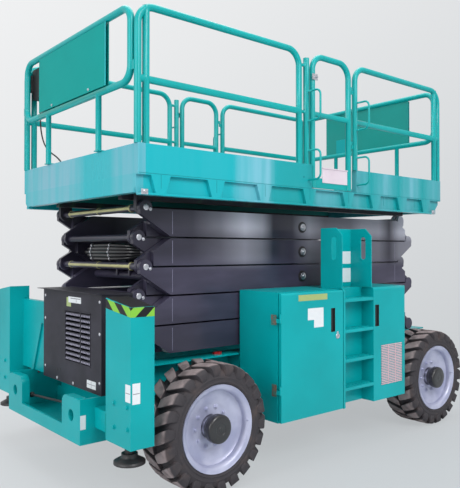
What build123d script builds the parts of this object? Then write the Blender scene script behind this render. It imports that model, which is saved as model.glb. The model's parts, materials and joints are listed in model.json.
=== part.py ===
from build123d import *
import os
from math import cos, pi, radians, sin, tan

# Rough-terrain scissor lift with five levels of arms, 3.145 m high when stowed with its rails up.
# Millimetres. +Z is up and the machine's length runs along X: its steered end is at -X. The
# origin lies on the ground, in the middle of the length and the width. "left" is the -Y side and
# "right" the +Y side, as seen by someone who faces the steered end.
# Each function makes one sub-part or one family of like sub-parts, and the end writes them.

# ---------------------------------------------------------------- sizes that drive the rest
# Wheels: the tyre stands on the ground on the flat tops of its lugs.
tyre_radius = 420
tyre_width = 312
tyre_mid_y = 978
lug_height = 26
lug_count = 22
lug_gap = 14
lug_slope = 26
lug_drop = 8
tread_edge = 45
tread_drop = 34
rim_radius = 285
rim_half_width = 148
bead_inset = 20
bead_depth = 20
hub_disc = 62
disc_thick = 18
front_wheel_x = -1235
rear_wheel_x = 1299
kingpin_y = 915

# Chassis
rail_half_gap = 500
rail_width = 80
rail_low_z = 450
rail_front_x = -1560
rail_rear_x = 1800
track_half_width = 662
track_thick = 12
tray_nose_x = -1950
tray_half_width = 610
tray_low_z = 330
tray_high_z = 620
tray_plate = 20

# Scissor stack: the pins stand in two columns, and each level is one band between pin heights.
levels = 5
left_pin_x = -1490
right_pin_x = 1560
stack_base_z = 847
level_pitch = 203
band_gap = 12
outer_arm_out = 655
arm_width = 80
arm_side_gap = 10
eye_radius = 50
eye_gap = 6
pin_radius = 25
pin_fit = 0.6
roller_radius = 56
arm_end_cut = 200
seat_gap = 0.3

# Lift cylinder, in the middle between the arms of levels 3 and 4
cylinder_foot_x = -1250
cylinder_foot_z = 1505
cylinder_eye_x = 797
cylinder_eye_z = 1495
barrel_radius = 70
lift_rod_radius = 45
ear_half_gap = 80
ear_thick = 24

# Hubs, spindles and kingpins
hub_spigot = 80
hub_radius = 95
hub_reach = 170
spindle_radius = 40
kingpin_radius = 22
axle_depth = 120
axle_pad = 20
leg_radius = 30

# Tie-down lugs on the trays
lug_in_y = 345
lug_hole_y = 480
lug_hole_z = 500
lug_hole_radius = 38

# Dark cover at the steered end
cover_nose_x = -1800
cover_depth = 225
cover_left_y = -610
cover_right_y = 300
cover_high_z = 1270
cover_wall = 12
grille_box = (-450, -80, 790, 1140)
louvre_count = 10

# Platform
platform_half_length = 1712
platform_half_width = 915
floor_z = 2057
toe_height = 187
side_beam_low_z = 1918
end_beam_low_z = 1934
toe_thick = 55
rail_top_z = 3145
mid_rail_share = 0.5496
tube_radius = 24
bend_radius = 120
gate_low_x = -118
gate_high_x = 373
gate_post_x = -163
gate_hinge_x = 394
rail_end_x = 1700
rail_bays = ((-rail_end_x, -245), (435, rail_end_x))
rail_inner_post = 60
loop_out_x = 6.5
deck_thick = 12
deck_beam_depth = 40
gusset_places = (-1541, -1088, -635, -151, 320, 686, 1080, 1460)
end_loop_half = 860
end_panel_half = 550
end_post_y = 410
handle_radius = 8
handle_reach = 150
handle_height = 230
cable_radius = 6
# the cable's run: (distance in from the end posts, Y, share of the height from deck to box)
cable_run = (
    (94.5, 800, 1), (94.5, 800, 0.83), (90.5, 772, 0.653), (84.5, 690, 0.496), (79.5, 560, 0.395),
    (77.5, 415, 0.322), (77.5, 290, 0.212), (78.5, 232, 0.124), (78.5, 232, 0.015))
control_height = 250
control_drop = 60

# Cabinets between the wheels
cabinet_front_x = -670
cabinet_rear_x = 830
cabinet_in_y = 675
cabinet_out_y = 1120
cabinet_low_z = 345
cabinet_high_z = 1270
cabinet_wall = 20
door_rear_x = 8
door_thick = 25
door_gap = 8
door_hinge_x = -678
door_hinge_y = 1122
door_hinge_heights = (550, 1055)
hinge_radius = 7
hinge_pin = 4
hinge_height = 30
ladder_rear_x = 401
ladder_depth = 120
step_heights = (500, 720, 950, 1190)
step_thick = 25
vent_box = (480, 775, 460, 790)
vent_bars = 12
grip_box = (402, 452, 950, 1125)
door_grip_box = (-140, -94, 950, 1130)
guard_low_x = -10
guard_high_x = 360
guard_back_y = 900
guard_top_z = 1745
guard_plate = 8
engine_box = (-600, -80, 720, 1060, 365.3, 1000)

# Jacks at the four corners
jack_front_x = -1792
jack_rear_x = 1810
jack_front_y = 952
jack_rear_y = 730
jack_pad_z = 280
jack_pad_radius = 97

# ---------------------------------------------------------------- places worked out from them
tyre_sides = 2 * lug_count
axle_z = tyre_radius * cos(pi / tyre_sides)
track_top_z = stack_base_z - roller_radius - seat_gap
outer_arm_in = outer_arm_out - arm_width
ladder_front_x = door_rear_x + cabinet_wall
ladder_back_x = ladder_rear_x - cabinet_wall
half_eye = (arm_width - eye_gap) / 2
eye_end = eye_radius - 4
inner_arm_out = outer_arm_in - arm_side_gap
inner_arm_in = inner_arm_out - arm_width
stack_top_z = stack_base_z + levels * level_pitch
toe_top_z = floor_z + toe_height
mid_rail_z = floor_z + mid_rail_share * (rail_top_z - floor_z)
gate_hinge_heights = (mid_rail_z - 230, rail_top_z - 260)
toe_in_y = platform_half_width - toe_thick
toe_in_x = platform_half_length - toe_thick
post_y = platform_half_width - toe_thick / 2
post_x = platform_half_length + loop_out_x
control_low_z = rail_top_z - control_drop - control_height
cable_route = [Vector(-post_x + inward, y, floor_z + share * (control_low_z - floor_z))
               for inward, y, share in cable_run]


# ---------------------------------------------------------------- plain helpers
def block(x0, x1, y0, y1, z0, z1):
    """A box between two values on each axis."""
    return Pos((x0 + x1) / 2, (y0 + y1) / 2, (z0 + z1) / 2) * Box(x1 - x0, y1 - y0, z1 - z0)


def plate_xz(points, y0, y1):
    """A plate with its outline in X and Z, from y0 to y1."""
    outline = Polyline(*[(x, y0, z) for x, z in points], close=True)
    return extrude(make_face(outline), amount=y1 - y0, dir=(0, 1, 0))


def plate_yz(points, x0, x1):
    """A plate with its outline in Y and Z, from x0 to x1."""
    outline = Polyline(*[(x0, y, z) for y, z in points], close=True)
    return extrude(make_face(outline), amount=x1 - x0, dir=(1, 0, 0))


def bar_between(start, end, radius):
    """A round bar from one point to another."""
    run = Vector(*end) - Vector(*start)
    return Solid.make_cylinder(radius, run.length, Plane(origin=start, z_dir=run))


def bar_y(x, z, y0, y1, radius):
    """A round bar along Y."""
    return bar_between((x, y0, z), (x, y1, z), radius)


def bar_z(x, y, z0, z1, radius):
    """A round bar along Z."""
    return bar_between((x, y, z0), (x, y, z1), radius)


def tube_path(points, radius, tube=tube_radius):
    """A round tube along straight runs joined by bends of one radius."""
    path = FilletPolyline(*points, radius=radius)
    return sweep(Plane(origin=path @ 0, z_dir=path % 0) * Circle(tube), path=path)


def mirrored(shape):
    """The same shape on the other side of the machine."""
    return mirror(shape, about=Plane.XZ)


def both(shape):
    """The shape and its mirror image, as one sub-part."""
    return shape + mirrored(shape)


def make_hinge_pin(x, y, z):
    """The fixed half of an upright hinge: a knuckle with its pin standing on it."""
    return bar_z(x, y, z, z + hinge_height, hinge_radius) + bar_z(x, y, z, z + 2 * hinge_height, hinge_pin)


def make_hinge_eye(leaf, x, y, z):
    """The leaf with the bored half of an upright hinge added to it."""
    leaf += bar_z(x, y, z, z + hinge_height, hinge_radius)
    return leaf - bar_z(x, y, z - 1, z + hinge_height + 1, hinge_pin + pin_fit)


# ---------------------------------------------------------------- wheels
def make_tyre():
    """A tyre about the Y axis at the origin, outer side at -Y, with two staggered rows of lugs.

    It has two flat sectors for each lug of a row. A sector carries a lug on one side of the
    tread and is bare on the other, so the left and the right row take turns.
    """
    half = tyre_width / 2
    crown = axle_z - lug_height
    seat = half - bead_inset
    bare = ((half - tread_edge, crown), (half, crown - tread_drop), (seat, rim_radius + 2),
            (seat, rim_radius - bead_depth))
    lugged = ((lug_gap, crown), (lug_gap, axle_z), (half - lug_slope, axle_z), (half, crown - lug_drop))
    # the sector's section: (place along Y, distance from the axle), with the lug at -Y
    section = [(-y, z) for y, z in lugged + bare[1:]] + [(y, z) for y, z in reversed(bare)]
    angle = pi / tyre_sides
    reach = 2 * tyre_radius
    bar = plate_yz([(y, -z) for y, z in section], -reach, reach)
    wedge = make_face(Polyline((0, 0, 0), (-reach * tan(angle), 0, -reach), (reach * tan(angle), 0, -reach),
                               close=True))
    sector = bar & extrude(wedge, amount=tyre_width, dir=(0, 1, 0), both=True)
    opposite = mirror(sector, about=Plane.XZ)
    step = 360 / lug_count
    turned = [Rot(0, number * step, 0) * sector for number in range(lug_count)]
    turned += [Rot(0, (number + 0.5) * step, 0) * opposite for number in range(lug_count)]
    return turned[0].fuse(*turned[1:]).clean()


def spun_y(view):
    """A solid of revolution about the Y axis from (radius, place along Y) points."""
    outline = make_face(Polyline(*[(r, y, 0) for r, y in view], close=True))
    return revolve(outline, axis=Axis.Y)


def make_rim():
    """A dished rim about the Y axis at the origin, outer side at -Y."""
    lip = rim_half_width
    seat = tyre_width / 2 - bead_inset + seat_gap
    disc = hub_disc
    barrel = rim_radius - 42
    bead = rim_radius - 22
    return spun_y(((hub_spigot + pin_fit, -disc), (barrel, -disc), (barrel, -lip + 30), (bead - 8, -lip),
                   (rim_radius, -lip), (rim_radius, -seat), (bead, -seat), (bead, -seat + 30),
                   (barrel + 12, -seat + 50), (barrel + 12, seat - 50), (bead, seat - 30), (bead, seat),
                   (rim_radius, seat), (rim_radius, lip), (bead - 8, lip), (barrel, lip - 30),
                   (barrel, -disc + disc_thick), (hub_spigot + pin_fit, -disc + disc_thick)))


def place_wheel(shape, x, side):
    """Moves a wheel piece from the origin to its axle, turned for the +Y side."""
    turned = shape if side < 0 else Rot(0, 0, 180) * shape
    return Pos(x, side * tyre_mid_y, axle_z) * turned


def make_hub():
    """A drive hub about the Y axis at the origin: spindle bore inside, cap outside."""
    disc = hub_disc
    inner = -disc + disc_thick
    return spun_y(((spindle_radius + pin_fit, 10), (75, 10), (75, inner + 14), (115, inner + 14),
                   (115, inner), (hub_spigot, inner), (hub_spigot, -disc), (hub_radius, -disc),
                   (hub_radius, -hub_reach + 20), (hub_radius - 20, -hub_reach), (0, -hub_reach),
                   (0, -25), (spindle_radius + pin_fit, -25)))


# ---------------------------------------------------------------- axles and steering
def make_axle_beam(x, reach):
    """An axle's beam with a pad under each rail of the frame."""
    top = rail_low_z - axle_pad
    beam = block(x - 55, x + 55, -reach, reach, rail_low_z - axle_depth, top)
    rail_out = rail_half_gap + rail_width
    return beam + both(block(x - 55, x + 55, -rail_out, -rail_half_gap, top, rail_low_z))


def make_front_axle():
    """The beam under the frame with a forked end for each steering knuckle."""
    x = front_wheel_x
    beam = make_axle_beam(x, 800)
    low, high = axle_z - 100, axle_z + 100
    fork = block(x - 42, x + 42, -800, -770, low, high)
    for z0, z1 in ((low, low + 24), (high - 24, high)):
        fork += block(x - 42, x + 42, -kingpin_y, -770, z0, z1)
        fork += bar_z(x, -kingpin_y, z0, z1, 42)
    fork += bar_z(x, -kingpin_y, low, high, kingpin_radius)
    return beam + both(fork)


def make_knuckle():
    """The left steering knuckle: a barrel on the kingpin and the spindle of the wheel."""
    x = front_wheel_x
    knuckle = bar_z(x, -kingpin_y, axle_z - 70, axle_z + 70, 42)
    spindle_end = tyre_mid_y + 20
    knuckle += bar_y(x, axle_z, -spindle_end, -kingpin_y, spindle_radius)
    knuckle -= bar_z(x, -kingpin_y, axle_z - 71, axle_z + 71, kingpin_radius + pin_fit)
    return knuckle


def make_rear_axle():
    """The rear beam with its two fixed spindles."""
    x = rear_wheel_x
    beam = make_axle_beam(x, 760)
    end = block(x - 60, x + 60, -800, -760, axle_z - 90, axle_z + 90)
    end += bar_y(x, axle_z, -tyre_mid_y - 20, -760, spindle_radius)
    return beam + both(end)


# ---------------------------------------------------------------- chassis
def make_tray(end):
    """The tray at one end: side walls, floor, nose with two tie-down lugs, rear sill."""
    nose = abs(tray_nose_x)
    back = abs(rail_front_x) - 40
    wall = tray_half_width - tray_plate
    tray = both(block(back, nose, -tray_half_width, -wall, tray_low_z, tray_high_z))
    tray += block(back, nose, -wall, wall, tray_low_z, tray_low_z + 12)
    tray += block(nose - tray_plate, nose, -wall, wall, tray_low_z, tray_low_z + 90)
    tray += block(back, back + 40, -wall, wall, tray_high_z - 60, tray_high_z)
    tray += block(back, back + 40, -wall, wall, tray_low_z, rail_low_z)
    lug = block(nose - 60, nose, -tray_half_width, -lug_in_y, tray_low_z, tray_high_z)
    lug = fillet(lug.edges().filter_by(Axis.X).group_by(Axis.Z)[-1], 60)
    lug -= bar_between((nose - 61, -lug_hole_y, lug_hole_z), (nose + 1, -lug_hole_y, lug_hole_z),
                       lug_hole_radius)
    tray += both(lug)
    return tray if end > 0 else mirror(tray, about=Plane.YZ)


def make_chassis():
    """Two channel rails under the stack with roller tracks, cross-members, trays and brackets."""
    inner = rail_half_gap
    web = 12
    rail = block(rail_front_x, rail_rear_x, -inner - web, -inner, rail_low_z, track_top_z)
    rail += block(rail_front_x, rail_rear_x, -inner - rail_width, -inner, rail_low_z, rail_low_z + web)
    rail += block(rail_front_x, rail_rear_x, -track_half_width, -inner, track_top_z - track_thick,
                  track_top_z)
    for x in (-1500, -950, -650, 150, 780, 1000, 1500):
        rail += plate_yz(((-inner, rail_low_z), (-inner - rail_width, rail_low_z),
                          (-track_half_width + 8, track_top_z - 60),
                          (-track_half_width + 8, track_top_z - 6), (-inner, track_top_z - 6)),
                         x - 5, x + 5)
    for x in (cabinet_front_x + 120, cabinet_rear_x - 120):
        rail += block(x - 40, x + 40, -cabinet_in_y, -inner, rail_low_z + 20, rail_low_z + 110)
    pivot = block(left_pin_x - eye_radius, left_pin_x + eye_radius, -inner_arm_out,
                  -inner_arm_out + half_eye, track_top_z - 6, stack_base_z)
    pivot += bar_y(left_pin_x, stack_base_z, -inner_arm_out, -inner_arm_out + half_eye, eye_radius)
    frame = both(rail + pivot)
    frame += bar_y(left_pin_x, stack_base_z, -inner_arm_out, inner_arm_out, pin_radius)
    for x in (rail_front_x + 20, -700, 0, 800, rail_rear_x - 20):
        frame += block(x - 20, x + 20, -inner, inner, rail_low_z, rail_low_z + 150)
    for end, x in ((-1, jack_front_x), (1, jack_rear_x)):
        frame += make_tray(end)
        reach = jack_front_y - 148 if end < 0 else jack_rear_y - 120
        frame += both(block(x - 55, x + 55, -reach, -tray_half_width + 1, 430, 560))
    return frame


def make_front_cover():
    """The dark cover over the cooler at the steered end, open below, with a louvred window."""
    x0, x1 = cover_nose_x, cover_nose_x + cover_depth
    y0, y1 = cover_left_y, cover_right_y
    low = tray_high_z + seat_gap
    cover = block(x0, x1, y0, y1, low, cover_high_z)
    cover -= block(x0 + cover_wall, x1 - cover_wall, y0 + cover_wall, y1 - cover_wall, low - 1,
                   cover_high_z - cover_wall)
    wy0, wy1, wz0, wz1 = grille_box
    cover -= block(x0 - 1, x0 + cover_wall + 1, wy0, wy1, wz0, wz1)
    middle = wy1 - 0.62 * (wy1 - wy0)
    cover += block(x0, x0 + cover_wall, middle - 8, middle + 8, wz0, wz1)
    pitch = (wz1 - wz0) / louvre_count
    for number in range(louvre_count):
        z = wz0 + (number + 0.5) * pitch
        cover += block(x0 + 2, x0 + cover_wall - 2, wy0, wy1, z - pitch * 0.3, z + pitch * 0.3)
    lid = plate_xz(((x0 - 45, cover_high_z + 12), (x1, cover_high_z), (x1, cover_high_z + 14),
                    (x0 - 45, cover_high_z + 16), ), y0 - 15, y1 + 15)
    lid += block(x0, x1, y0, y1, cover_high_z, cover_high_z + 13)
    return cover + lid


def make_side_guard():
    """The sheet guard between the dark cover and the right jack housing."""
    x = jack_front_x + 30
    high = 1170
    low = tray_high_z + seat_gap
    guard = block(x, x + 6, cover_right_y + 20, jack_front_y - 148 - seat_gap, low, high)
    guard += block(x, x + 45, cover_right_y + 20, cover_right_y + 26, low, high)
    guard += block(x, x + 45, cover_right_y + 20, jack_front_y - 148 - seat_gap, high - 6, high)
    guard += plate_yz(((430, 1000), (400, 1000), (560, low), (600, low)), x - 14, x)
    return guard


def make_hand_pump():
    """The small hand pump in the front tray with its lever and ball."""
    x = tray_nose_x + 100
    low = tray_low_z + 12 + seat_gap
    pump = block(x - 40, x + 40, -330, -230, low, low + 90)
    pump += bar_z(x, -280, low + 90, low + 190, 28)
    pump += bar_between((x, -280, low + 175), (x, 400, low + 120), 9)
    pump += Pos(x, 400, low + 120) * Sphere(20)
    return pump


# ---------------------------------------------------------------- jacks
def make_jack_housings():
    """Tall housings with sloped caps at the steered end, short ones behind the rear wheels."""
    x, y = jack_front_x, jack_front_y
    housing = plate_yz(((-y - 148, 400), (-y + 148, 400), (-y + 148, 1275), (-y - 148, 1234)),
                       x - 82, x + 82)
    bore = leg_radius + pin_fit
    housing -= bar_z(x, -y, 399, 1100, bore)
    x, y = jack_rear_x, jack_rear_y
    rear = block(x - 60, x + 60, -y - 120, -y + 120, 360, 740)
    rear -= bar_z(x, -y, 359, 725, bore)
    return both(housing), both(rear)


def make_jack_leg(x, y, top):
    """One jack's rod with its round foot."""
    leg = bar_z(x, y, jack_pad_z + 20, top, leg_radius)
    foot = make_face(Polyline((0, 0, 0), (jack_pad_radius, 0, 0), (jack_pad_radius, 0, 16),
                              (50, 0, 42), (50, 0, 62), (0, 0, 62), close=True))
    return leg + Pos(x, y, jack_pad_z) * revolve(foot, axis=Axis.Z)


# ---------------------------------------------------------------- cabinets
def make_cabinet():
    """The left cabinet: the door's bay, the ladder's back and the closed bay behind it."""
    w = cabinet_wall
    x0, x1, y_in, y_out = cabinet_front_x, cabinet_rear_x, cabinet_in_y, cabinet_out_y
    z0, z1 = cabinet_low_z, cabinet_high_z
    body = block(x0, x1, -y_out, -y_in, z0, z1)
    edges = body.edges().filter_by(Axis.X).group_by(Axis.Z)[-1].group_by(Axis.Y)[0]
    edges += body.edges().filter_by(Axis.Z).group_by(Axis.X)[-1].group_by(Axis.Y)[0]
    body = fillet(edges, 28)
    front = y_out - door_thick - door_gap
    body -= block(x0 - 1, door_rear_x, -y_out - 1, -front, z0 - 1, z1 + 1)
    body -= block(x0 + w, door_rear_x - w, -front - 1, -y_in - w, z0 + w, z1 - w)
    vx0, vx1, vz0, vz1 = vent_box
    body -= block(vx0, vx1, -y_out - 1, -y_out + 8, vz0, vz1)
    pitch = (vx1 - vx0) / vent_bars
    for number in range(1, vent_bars):
        x = vx0 + number * pitch
        body += block(x - 4, x + 4, -y_out + 2, -y_out + 9, vz0, vz1)
    sx0, sx1, sz0, sz1 = grip_box
    body -= block(sx0, sx1, -y_out - 1, -y_out + 14, sz0, sz1)
    for z in door_hinge_heights:
        leaf = block(door_hinge_x - hinge_radius, door_hinge_x, -door_hinge_y, -front + 40, z,
                     z + hinge_height)
        leaf += block(door_hinge_x - hinge_radius, x0 + 1, -front + 5, -front + 40, z, z + hinge_height)
        body += leaf + make_hinge_pin(door_hinge_x, -door_hinge_y, z)
    body -= block(ladder_front_x, ladder_back_x, -y_out - 1, -y_in + 1, z0 - 1, z1 + 1)
    back = block(ladder_front_x + seat_gap, ladder_back_x - seat_gap, -y_out + ladder_depth, -y_in, z0, z1)
    return Compound(children=[*body.solids(), back])


def make_ladder():
    """The left ladder: four steps in the cabinet's recess and the guard over them."""
    steps = [block(ladder_front_x + seat_gap, ladder_back_x - seat_gap, -cabinet_out_y,
                   -cabinet_out_y + ladder_depth - seat_gap, z - step_thick, z) for z in step_heights]
    return Compound(children=[*steps, *make_step_guard().solids()])


def make_step_guard():
    """A three-sided hand guard on the left cabinet over the ladder, with slots to grip."""
    t = guard_plate
    x0, x1 = guard_low_x, guard_high_x
    z0, z1 = cabinet_high_z + seat_gap, guard_top_z
    out, back = cabinet_out_y, guard_back_y
    wing = plate_yz(((-out, z0), (-back, z0), (-back, z1), (-out + 60, z1), (-out, z1 - 60)),
                    x0, x0 + t)
    slot = block(x0 - 1, x0 + t + 1, -out + 60, -out + 105, z1 - 250, z1 - 70)
    slot = fillet(slot.edges().filter_by(Axis.X), 20)
    wing -= slot
    guard = wing + Pos(x1 - x0 - t, 0, 0) * wing
    panel = block(x0, x1, -back - t, -back, z0, z1)
    hole = block(x0 + 30, x0 + 90, -back - t - 1, -back + 1, z1 - 230, z1 - 70)
    hole = fillet(hole.edges().filter_by(Axis.Y), 20)
    return guard + (panel - hole)


def make_door():
    """The left cabinet's door with a slot to grip and its hinge barrels."""
    x0, x1 = cabinet_front_x + 2, door_rear_x - door_gap
    y_out = cabinet_out_y
    door = block(x0, x1, -y_out, -y_out + door_thick, cabinet_low_z + 5, cabinet_high_z - 5)
    top = door.edges().filter_by(Axis.X).group_by(Axis.Z)[-1].group_by(Axis.Y)[0]
    door = fillet(top, 20)
    sx0, sx1, sz0, sz1 = door_grip_box
    door -= block(sx0, sx1, -y_out - 1, -y_out + 14, sz0, sz1)
    for z in door_hinge_heights:
        z += hinge_height + seat_gap
        door += block(door_hinge_x, x0 + 5, -door_hinge_y, -y_out + 8, z, z + hinge_height)
        door = make_hinge_eye(door, door_hinge_x, -door_hinge_y, z)
    return door


# ---------------------------------------------------------------- scissor stack
def pin_x(side):
    """The X of the column of pins at one end."""
    return left_pin_x if side < 0 else right_pin_x


def make_arm(level, y_in, y_out, rises):
    """The left arm of one chain at one level, and the X and Z of its low and its high pin.

    An arm's low pin is on its bottom edge at one end and its high pin on its top edge at the
    other. Where two levels of one chain meet on a pin, the lower arm's eye takes the outboard
    half of their plane and the upper arm's eye the inboard half.
    """
    z0 = stack_base_z + (level - 1) * level_pitch
    z1 = z0 + level_pitch
    low_side, high_side = (-1, 1) if rises else (1, -1)
    low_x, high_x = pin_x(low_side), pin_x(high_side)
    bottom, top = z0 + band_gap / 2, z1 - band_gap / 2
    clear = eye_radius + 10
    outline = [(low_x + low_side * eye_end, bottom), (low_x + low_side * eye_end, bottom + 40),
               (low_x - low_side * arm_end_cut, top), (high_x + high_side * eye_end, top),
               (high_x + high_side * eye_end, top - 40), (high_x - high_side * arm_end_cut, bottom)]
    inboard, outboard = -y_in - half_eye, -y_out + half_eye
    arm = plate_xz(outline, -y_out, -y_in)
    big = 400
    for side, x in ((low_side, low_x), (high_side, high_x)):
        edge = x - side * clear
        x0, x1 = sorted((edge, x + side * big))
        if side == low_side:
            arm -= block(x0, x1, -y_out - 1, inboard, z0 - big, z1 + big)
            arm += bar_y(x, z0, inboard, -y_in, eye_radius)
        else:
            arm -= block(x0, x1, outboard, -y_in + 1, z0 - big, z1 + big)
            arm += bar_y(x, z1, -y_out, outboard, eye_radius)
    if level > 1 or rises:
        arm -= bar_y(low_x, z0, -y_out - 1, -y_in + 1, pin_radius + pin_fit)
    return arm, (low_x, z0), (high_x, z1)


def middle_pin(level):
    """Where the two arms of a level cross, in X and Z."""
    return (left_pin_x + right_pin_x) / 2, stack_base_z + (level - 0.5) * level_pitch


def make_inner_arms(level):
    """A level's inner arms with the middle pins that carry its outer arms."""
    rises = level % 2 == 1
    arm, low, high = make_arm(level, inner_arm_in, inner_arm_out, rises)
    x, z = middle_pin(level)
    arm += bar_y(x, z, -outer_arm_out - 1, -inner_arm_out + 1, pin_radius)
    arm += bar_y(x, z, -outer_arm_out - 11, -outer_arm_out - pin_fit, pin_radius + 6)
    arm += bar_y(x, z, -outer_arm_in + pin_fit, -inner_arm_out, pin_radius + 10)
    arms = both(arm)
    arms += bar_y(*high, -inner_arm_out, inner_arm_out, pin_radius)
    if level == levels:
        roller = bar_y(*high, -inner_arm_in - half_eye, -inner_arm_in, roller_radius)
        arms += both(roller)
    if level == 3:
        arms += make_cylinder_ears(cylinder_foot_x, cylinder_foot_z, -130, 30, pin_radius)
    if level == 4:
        arms += make_cylinder_ears(cylinder_eye_x, cylinder_eye_z, 130, 26, 0)
    return arms


def make_cylinder_ears(x, z, beam_rise, beam_radius, pin):
    """A beam between the inner arms with two ears for one end of the lift cylinder.

    The foot has a whole pin. At the rod's eye the linkage is open, so its ears have short stubs.
    """
    ears = bar_y(x, z + beam_rise, -inner_arm_in, inner_arm_in, beam_radius)
    near = ear_half_gap
    far = near + ear_thick
    low, high = sorted((z, z + beam_rise))
    ear = block(x - 42, x + 42, near, far, low, high) + bar_y(x, z, near, far, 42)
    ears += both(ear)
    if pin:
        ears += bar_y(x, z, -near, near, pin)
    return ears


def make_outer_arms(level):
    """A level's outer arms, bored for the middle pins; level 1 has the rollers on the frame."""
    rises = level % 2 == 0
    arm, low, high = make_arm(level, outer_arm_in, outer_arm_out, rises)
    x, z = middle_pin(level)
    arm -= bar_y(x, z, -outer_arm_out - 1, -outer_arm_in + 1, pin_radius + pin_fit)
    if level == 1:
        arm += bar_y(*low, -outer_arm_out, -outer_arm_out + half_eye, roller_radius)
    arms = both(arm)
    if level == 1:
        arms += bar_y(*low, -outer_arm_out, outer_arm_out, pin_radius)
    arms += bar_y(*high, -outer_arm_out, outer_arm_out, pin_radius)
    return arms


def make_lift_cylinder():
    """The lift cylinder's barrel and rod, on the line between its two pins."""
    foot = Vector(cylinder_foot_x, 0, cylinder_foot_z)
    eye = Vector(cylinder_eye_x, 0, cylinder_eye_z)
    run = (eye - foot).normalized()
    length = (eye - foot).length

    def along(distance):
        p = foot + run * distance
        return (p.X, p.Y, p.Z)

    barrel_end = length - 190
    barrel = bar_between(along(45), along(barrel_end), barrel_radius)
    barrel += bar_between(along(barrel_end - 60), along(barrel_end), barrel_radius + 12)
    half = ear_half_gap - eye_gap
    barrel += bar_y(cylinder_foot_x, cylinder_foot_z, -half, half, 58)
    barrel -= bar_y(cylinder_foot_x, cylinder_foot_z, -half - 1, half + 1, pin_radius + pin_fit)
    barrel -= bar_between(along(300), along(barrel_end + 1), lift_rod_radius + pin_fit)
    rod = bar_between(along(320), along(length), lift_rod_radius)
    rod += bar_y(cylinder_eye_x, cylinder_eye_z, -half, half, 48)
    rod -= bar_y(cylinder_eye_x, cylinder_eye_z, -half - 1, half + 1, pin_radius)
    return barrel, rod


# ---------------------------------------------------------------- platform
def make_platform_frame():
    """Toe boards and end fascias round the deck, with gusseted side beams below the floor."""
    hx, hy = platform_half_length, platform_half_width
    low = floor_z - deck_thick
    side = block(-hx, hx, -hy, -toe_in_y, low, toe_top_z)
    side -= block(gate_low_x - 10, gate_high_x + 55, -hy - 1, -toe_in_y + 1, floor_z, toe_top_z + 1)
    web = plate_xz(((-hx, low), (hx, low), (hx, low - 30), (hx - 90, side_beam_low_z),
                    (-hx + 20, side_beam_low_z), (-hx, low - 80)), -hy + 28, -toe_in_y)
    side += web
    side += block(-hx + 20, hx - 90, -hy, -hy + 30, side_beam_low_z, side_beam_low_z + 14)
    for x in gusset_places:
        side += plate_xz(((x - 75, low), (x + 75, low), (x + 35, side_beam_low_z),
                          (x - 35, side_beam_low_z)), -hy, -hy + 30)
    frame = both(side)
    end = block(toe_in_x, hx, -toe_in_y, toe_in_y, end_beam_low_z, toe_top_z)
    return frame + end + mirror(end, about=Plane.YZ)


def make_platform_deck():
    """The floor and its underframe: roller tracks, cross-beams and the fixed pivot's ears."""
    low = floor_z - deck_thick
    track = stack_top_z + roller_radius + seat_gap
    in_x, in_y = toe_in_x - seat_gap, toe_in_y - seat_gap
    deck = block(-in_x, in_x, -in_y, in_y, low, floor_z)
    beam = block(-1600, in_x, -inner_arm_in - half_eye, -inner_arm_in + 15, track, low + 1)
    ear = block(left_pin_x - eye_radius, left_pin_x + eye_radius, -outer_arm_in - half_eye,
                -outer_arm_in, stack_top_z, low + 1)
    ear += bar_y(left_pin_x, stack_top_z, -outer_arm_in - half_eye, -outer_arm_in, eye_radius)
    ear -= bar_y(left_pin_x, stack_top_z, -outer_arm_out, -outer_arm_in + 1, pin_radius + pin_fit)
    deck += both(beam + ear)
    for x in (-1570, -1200, -600, 0, 600, 1200, 1625):
        deck += block(x - 30, x + 30, -in_y, in_y, low - deck_beam_depth, low + 1)
    gland_x, gland_y, gland_z = cable_route[-1]
    deck += bar_z(gland_x, gland_y, floor_z, gland_z, 14)
    return deck


def make_side_rails():
    """The fixed rails along both sides, with the gate posts and the grab handles."""
    top = rail_top_z - tube_radius
    y = -post_y
    rails = Part()
    for x0, x1 in rail_bays:
        rails += tube_path(((x0, y, toe_top_z), (x0, y, top), (x1, y, top), (x1, y, toe_top_z)),
                           bend_radius)
        rails += bar_between((x0, y, mid_rail_z), (x1, y, mid_rail_z), tube_radius)
    for x in (-rail_end_x + rail_inner_post, rail_end_x - rail_inner_post):
        rails += bar_z(x, y, toe_top_z, top, tube_radius)
    rails += bar_z(gate_post_x, y, toe_top_z, top - 40, tube_radius)
    for z in (mid_rail_z, top - 100):
        rails += bar_between((rail_bays[0][1], y, z), (gate_post_x, y, z), 12)
    for x in (gate_post_x, rail_bays[1][0]):
        for low in (mid_rail_z - 70, toe_top_z - 124):
            out = y - handle_reach
            start = y if low > toe_top_z else y - toe_thick / 2
            high = low + handle_height
            rails += tube_path(((x, start, low), (x, out, low), (x, out, high), (x, y, high)),
                               45, handle_radius)
    for z in gate_hinge_heights:
        rails += block(gate_hinge_x, rail_bays[1][0] - tube_radius + 3, y - 5, y + 5, z, z + hinge_height)
        rails += make_hinge_pin(gate_hinge_x, y, z)
    return both(rails)


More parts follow.
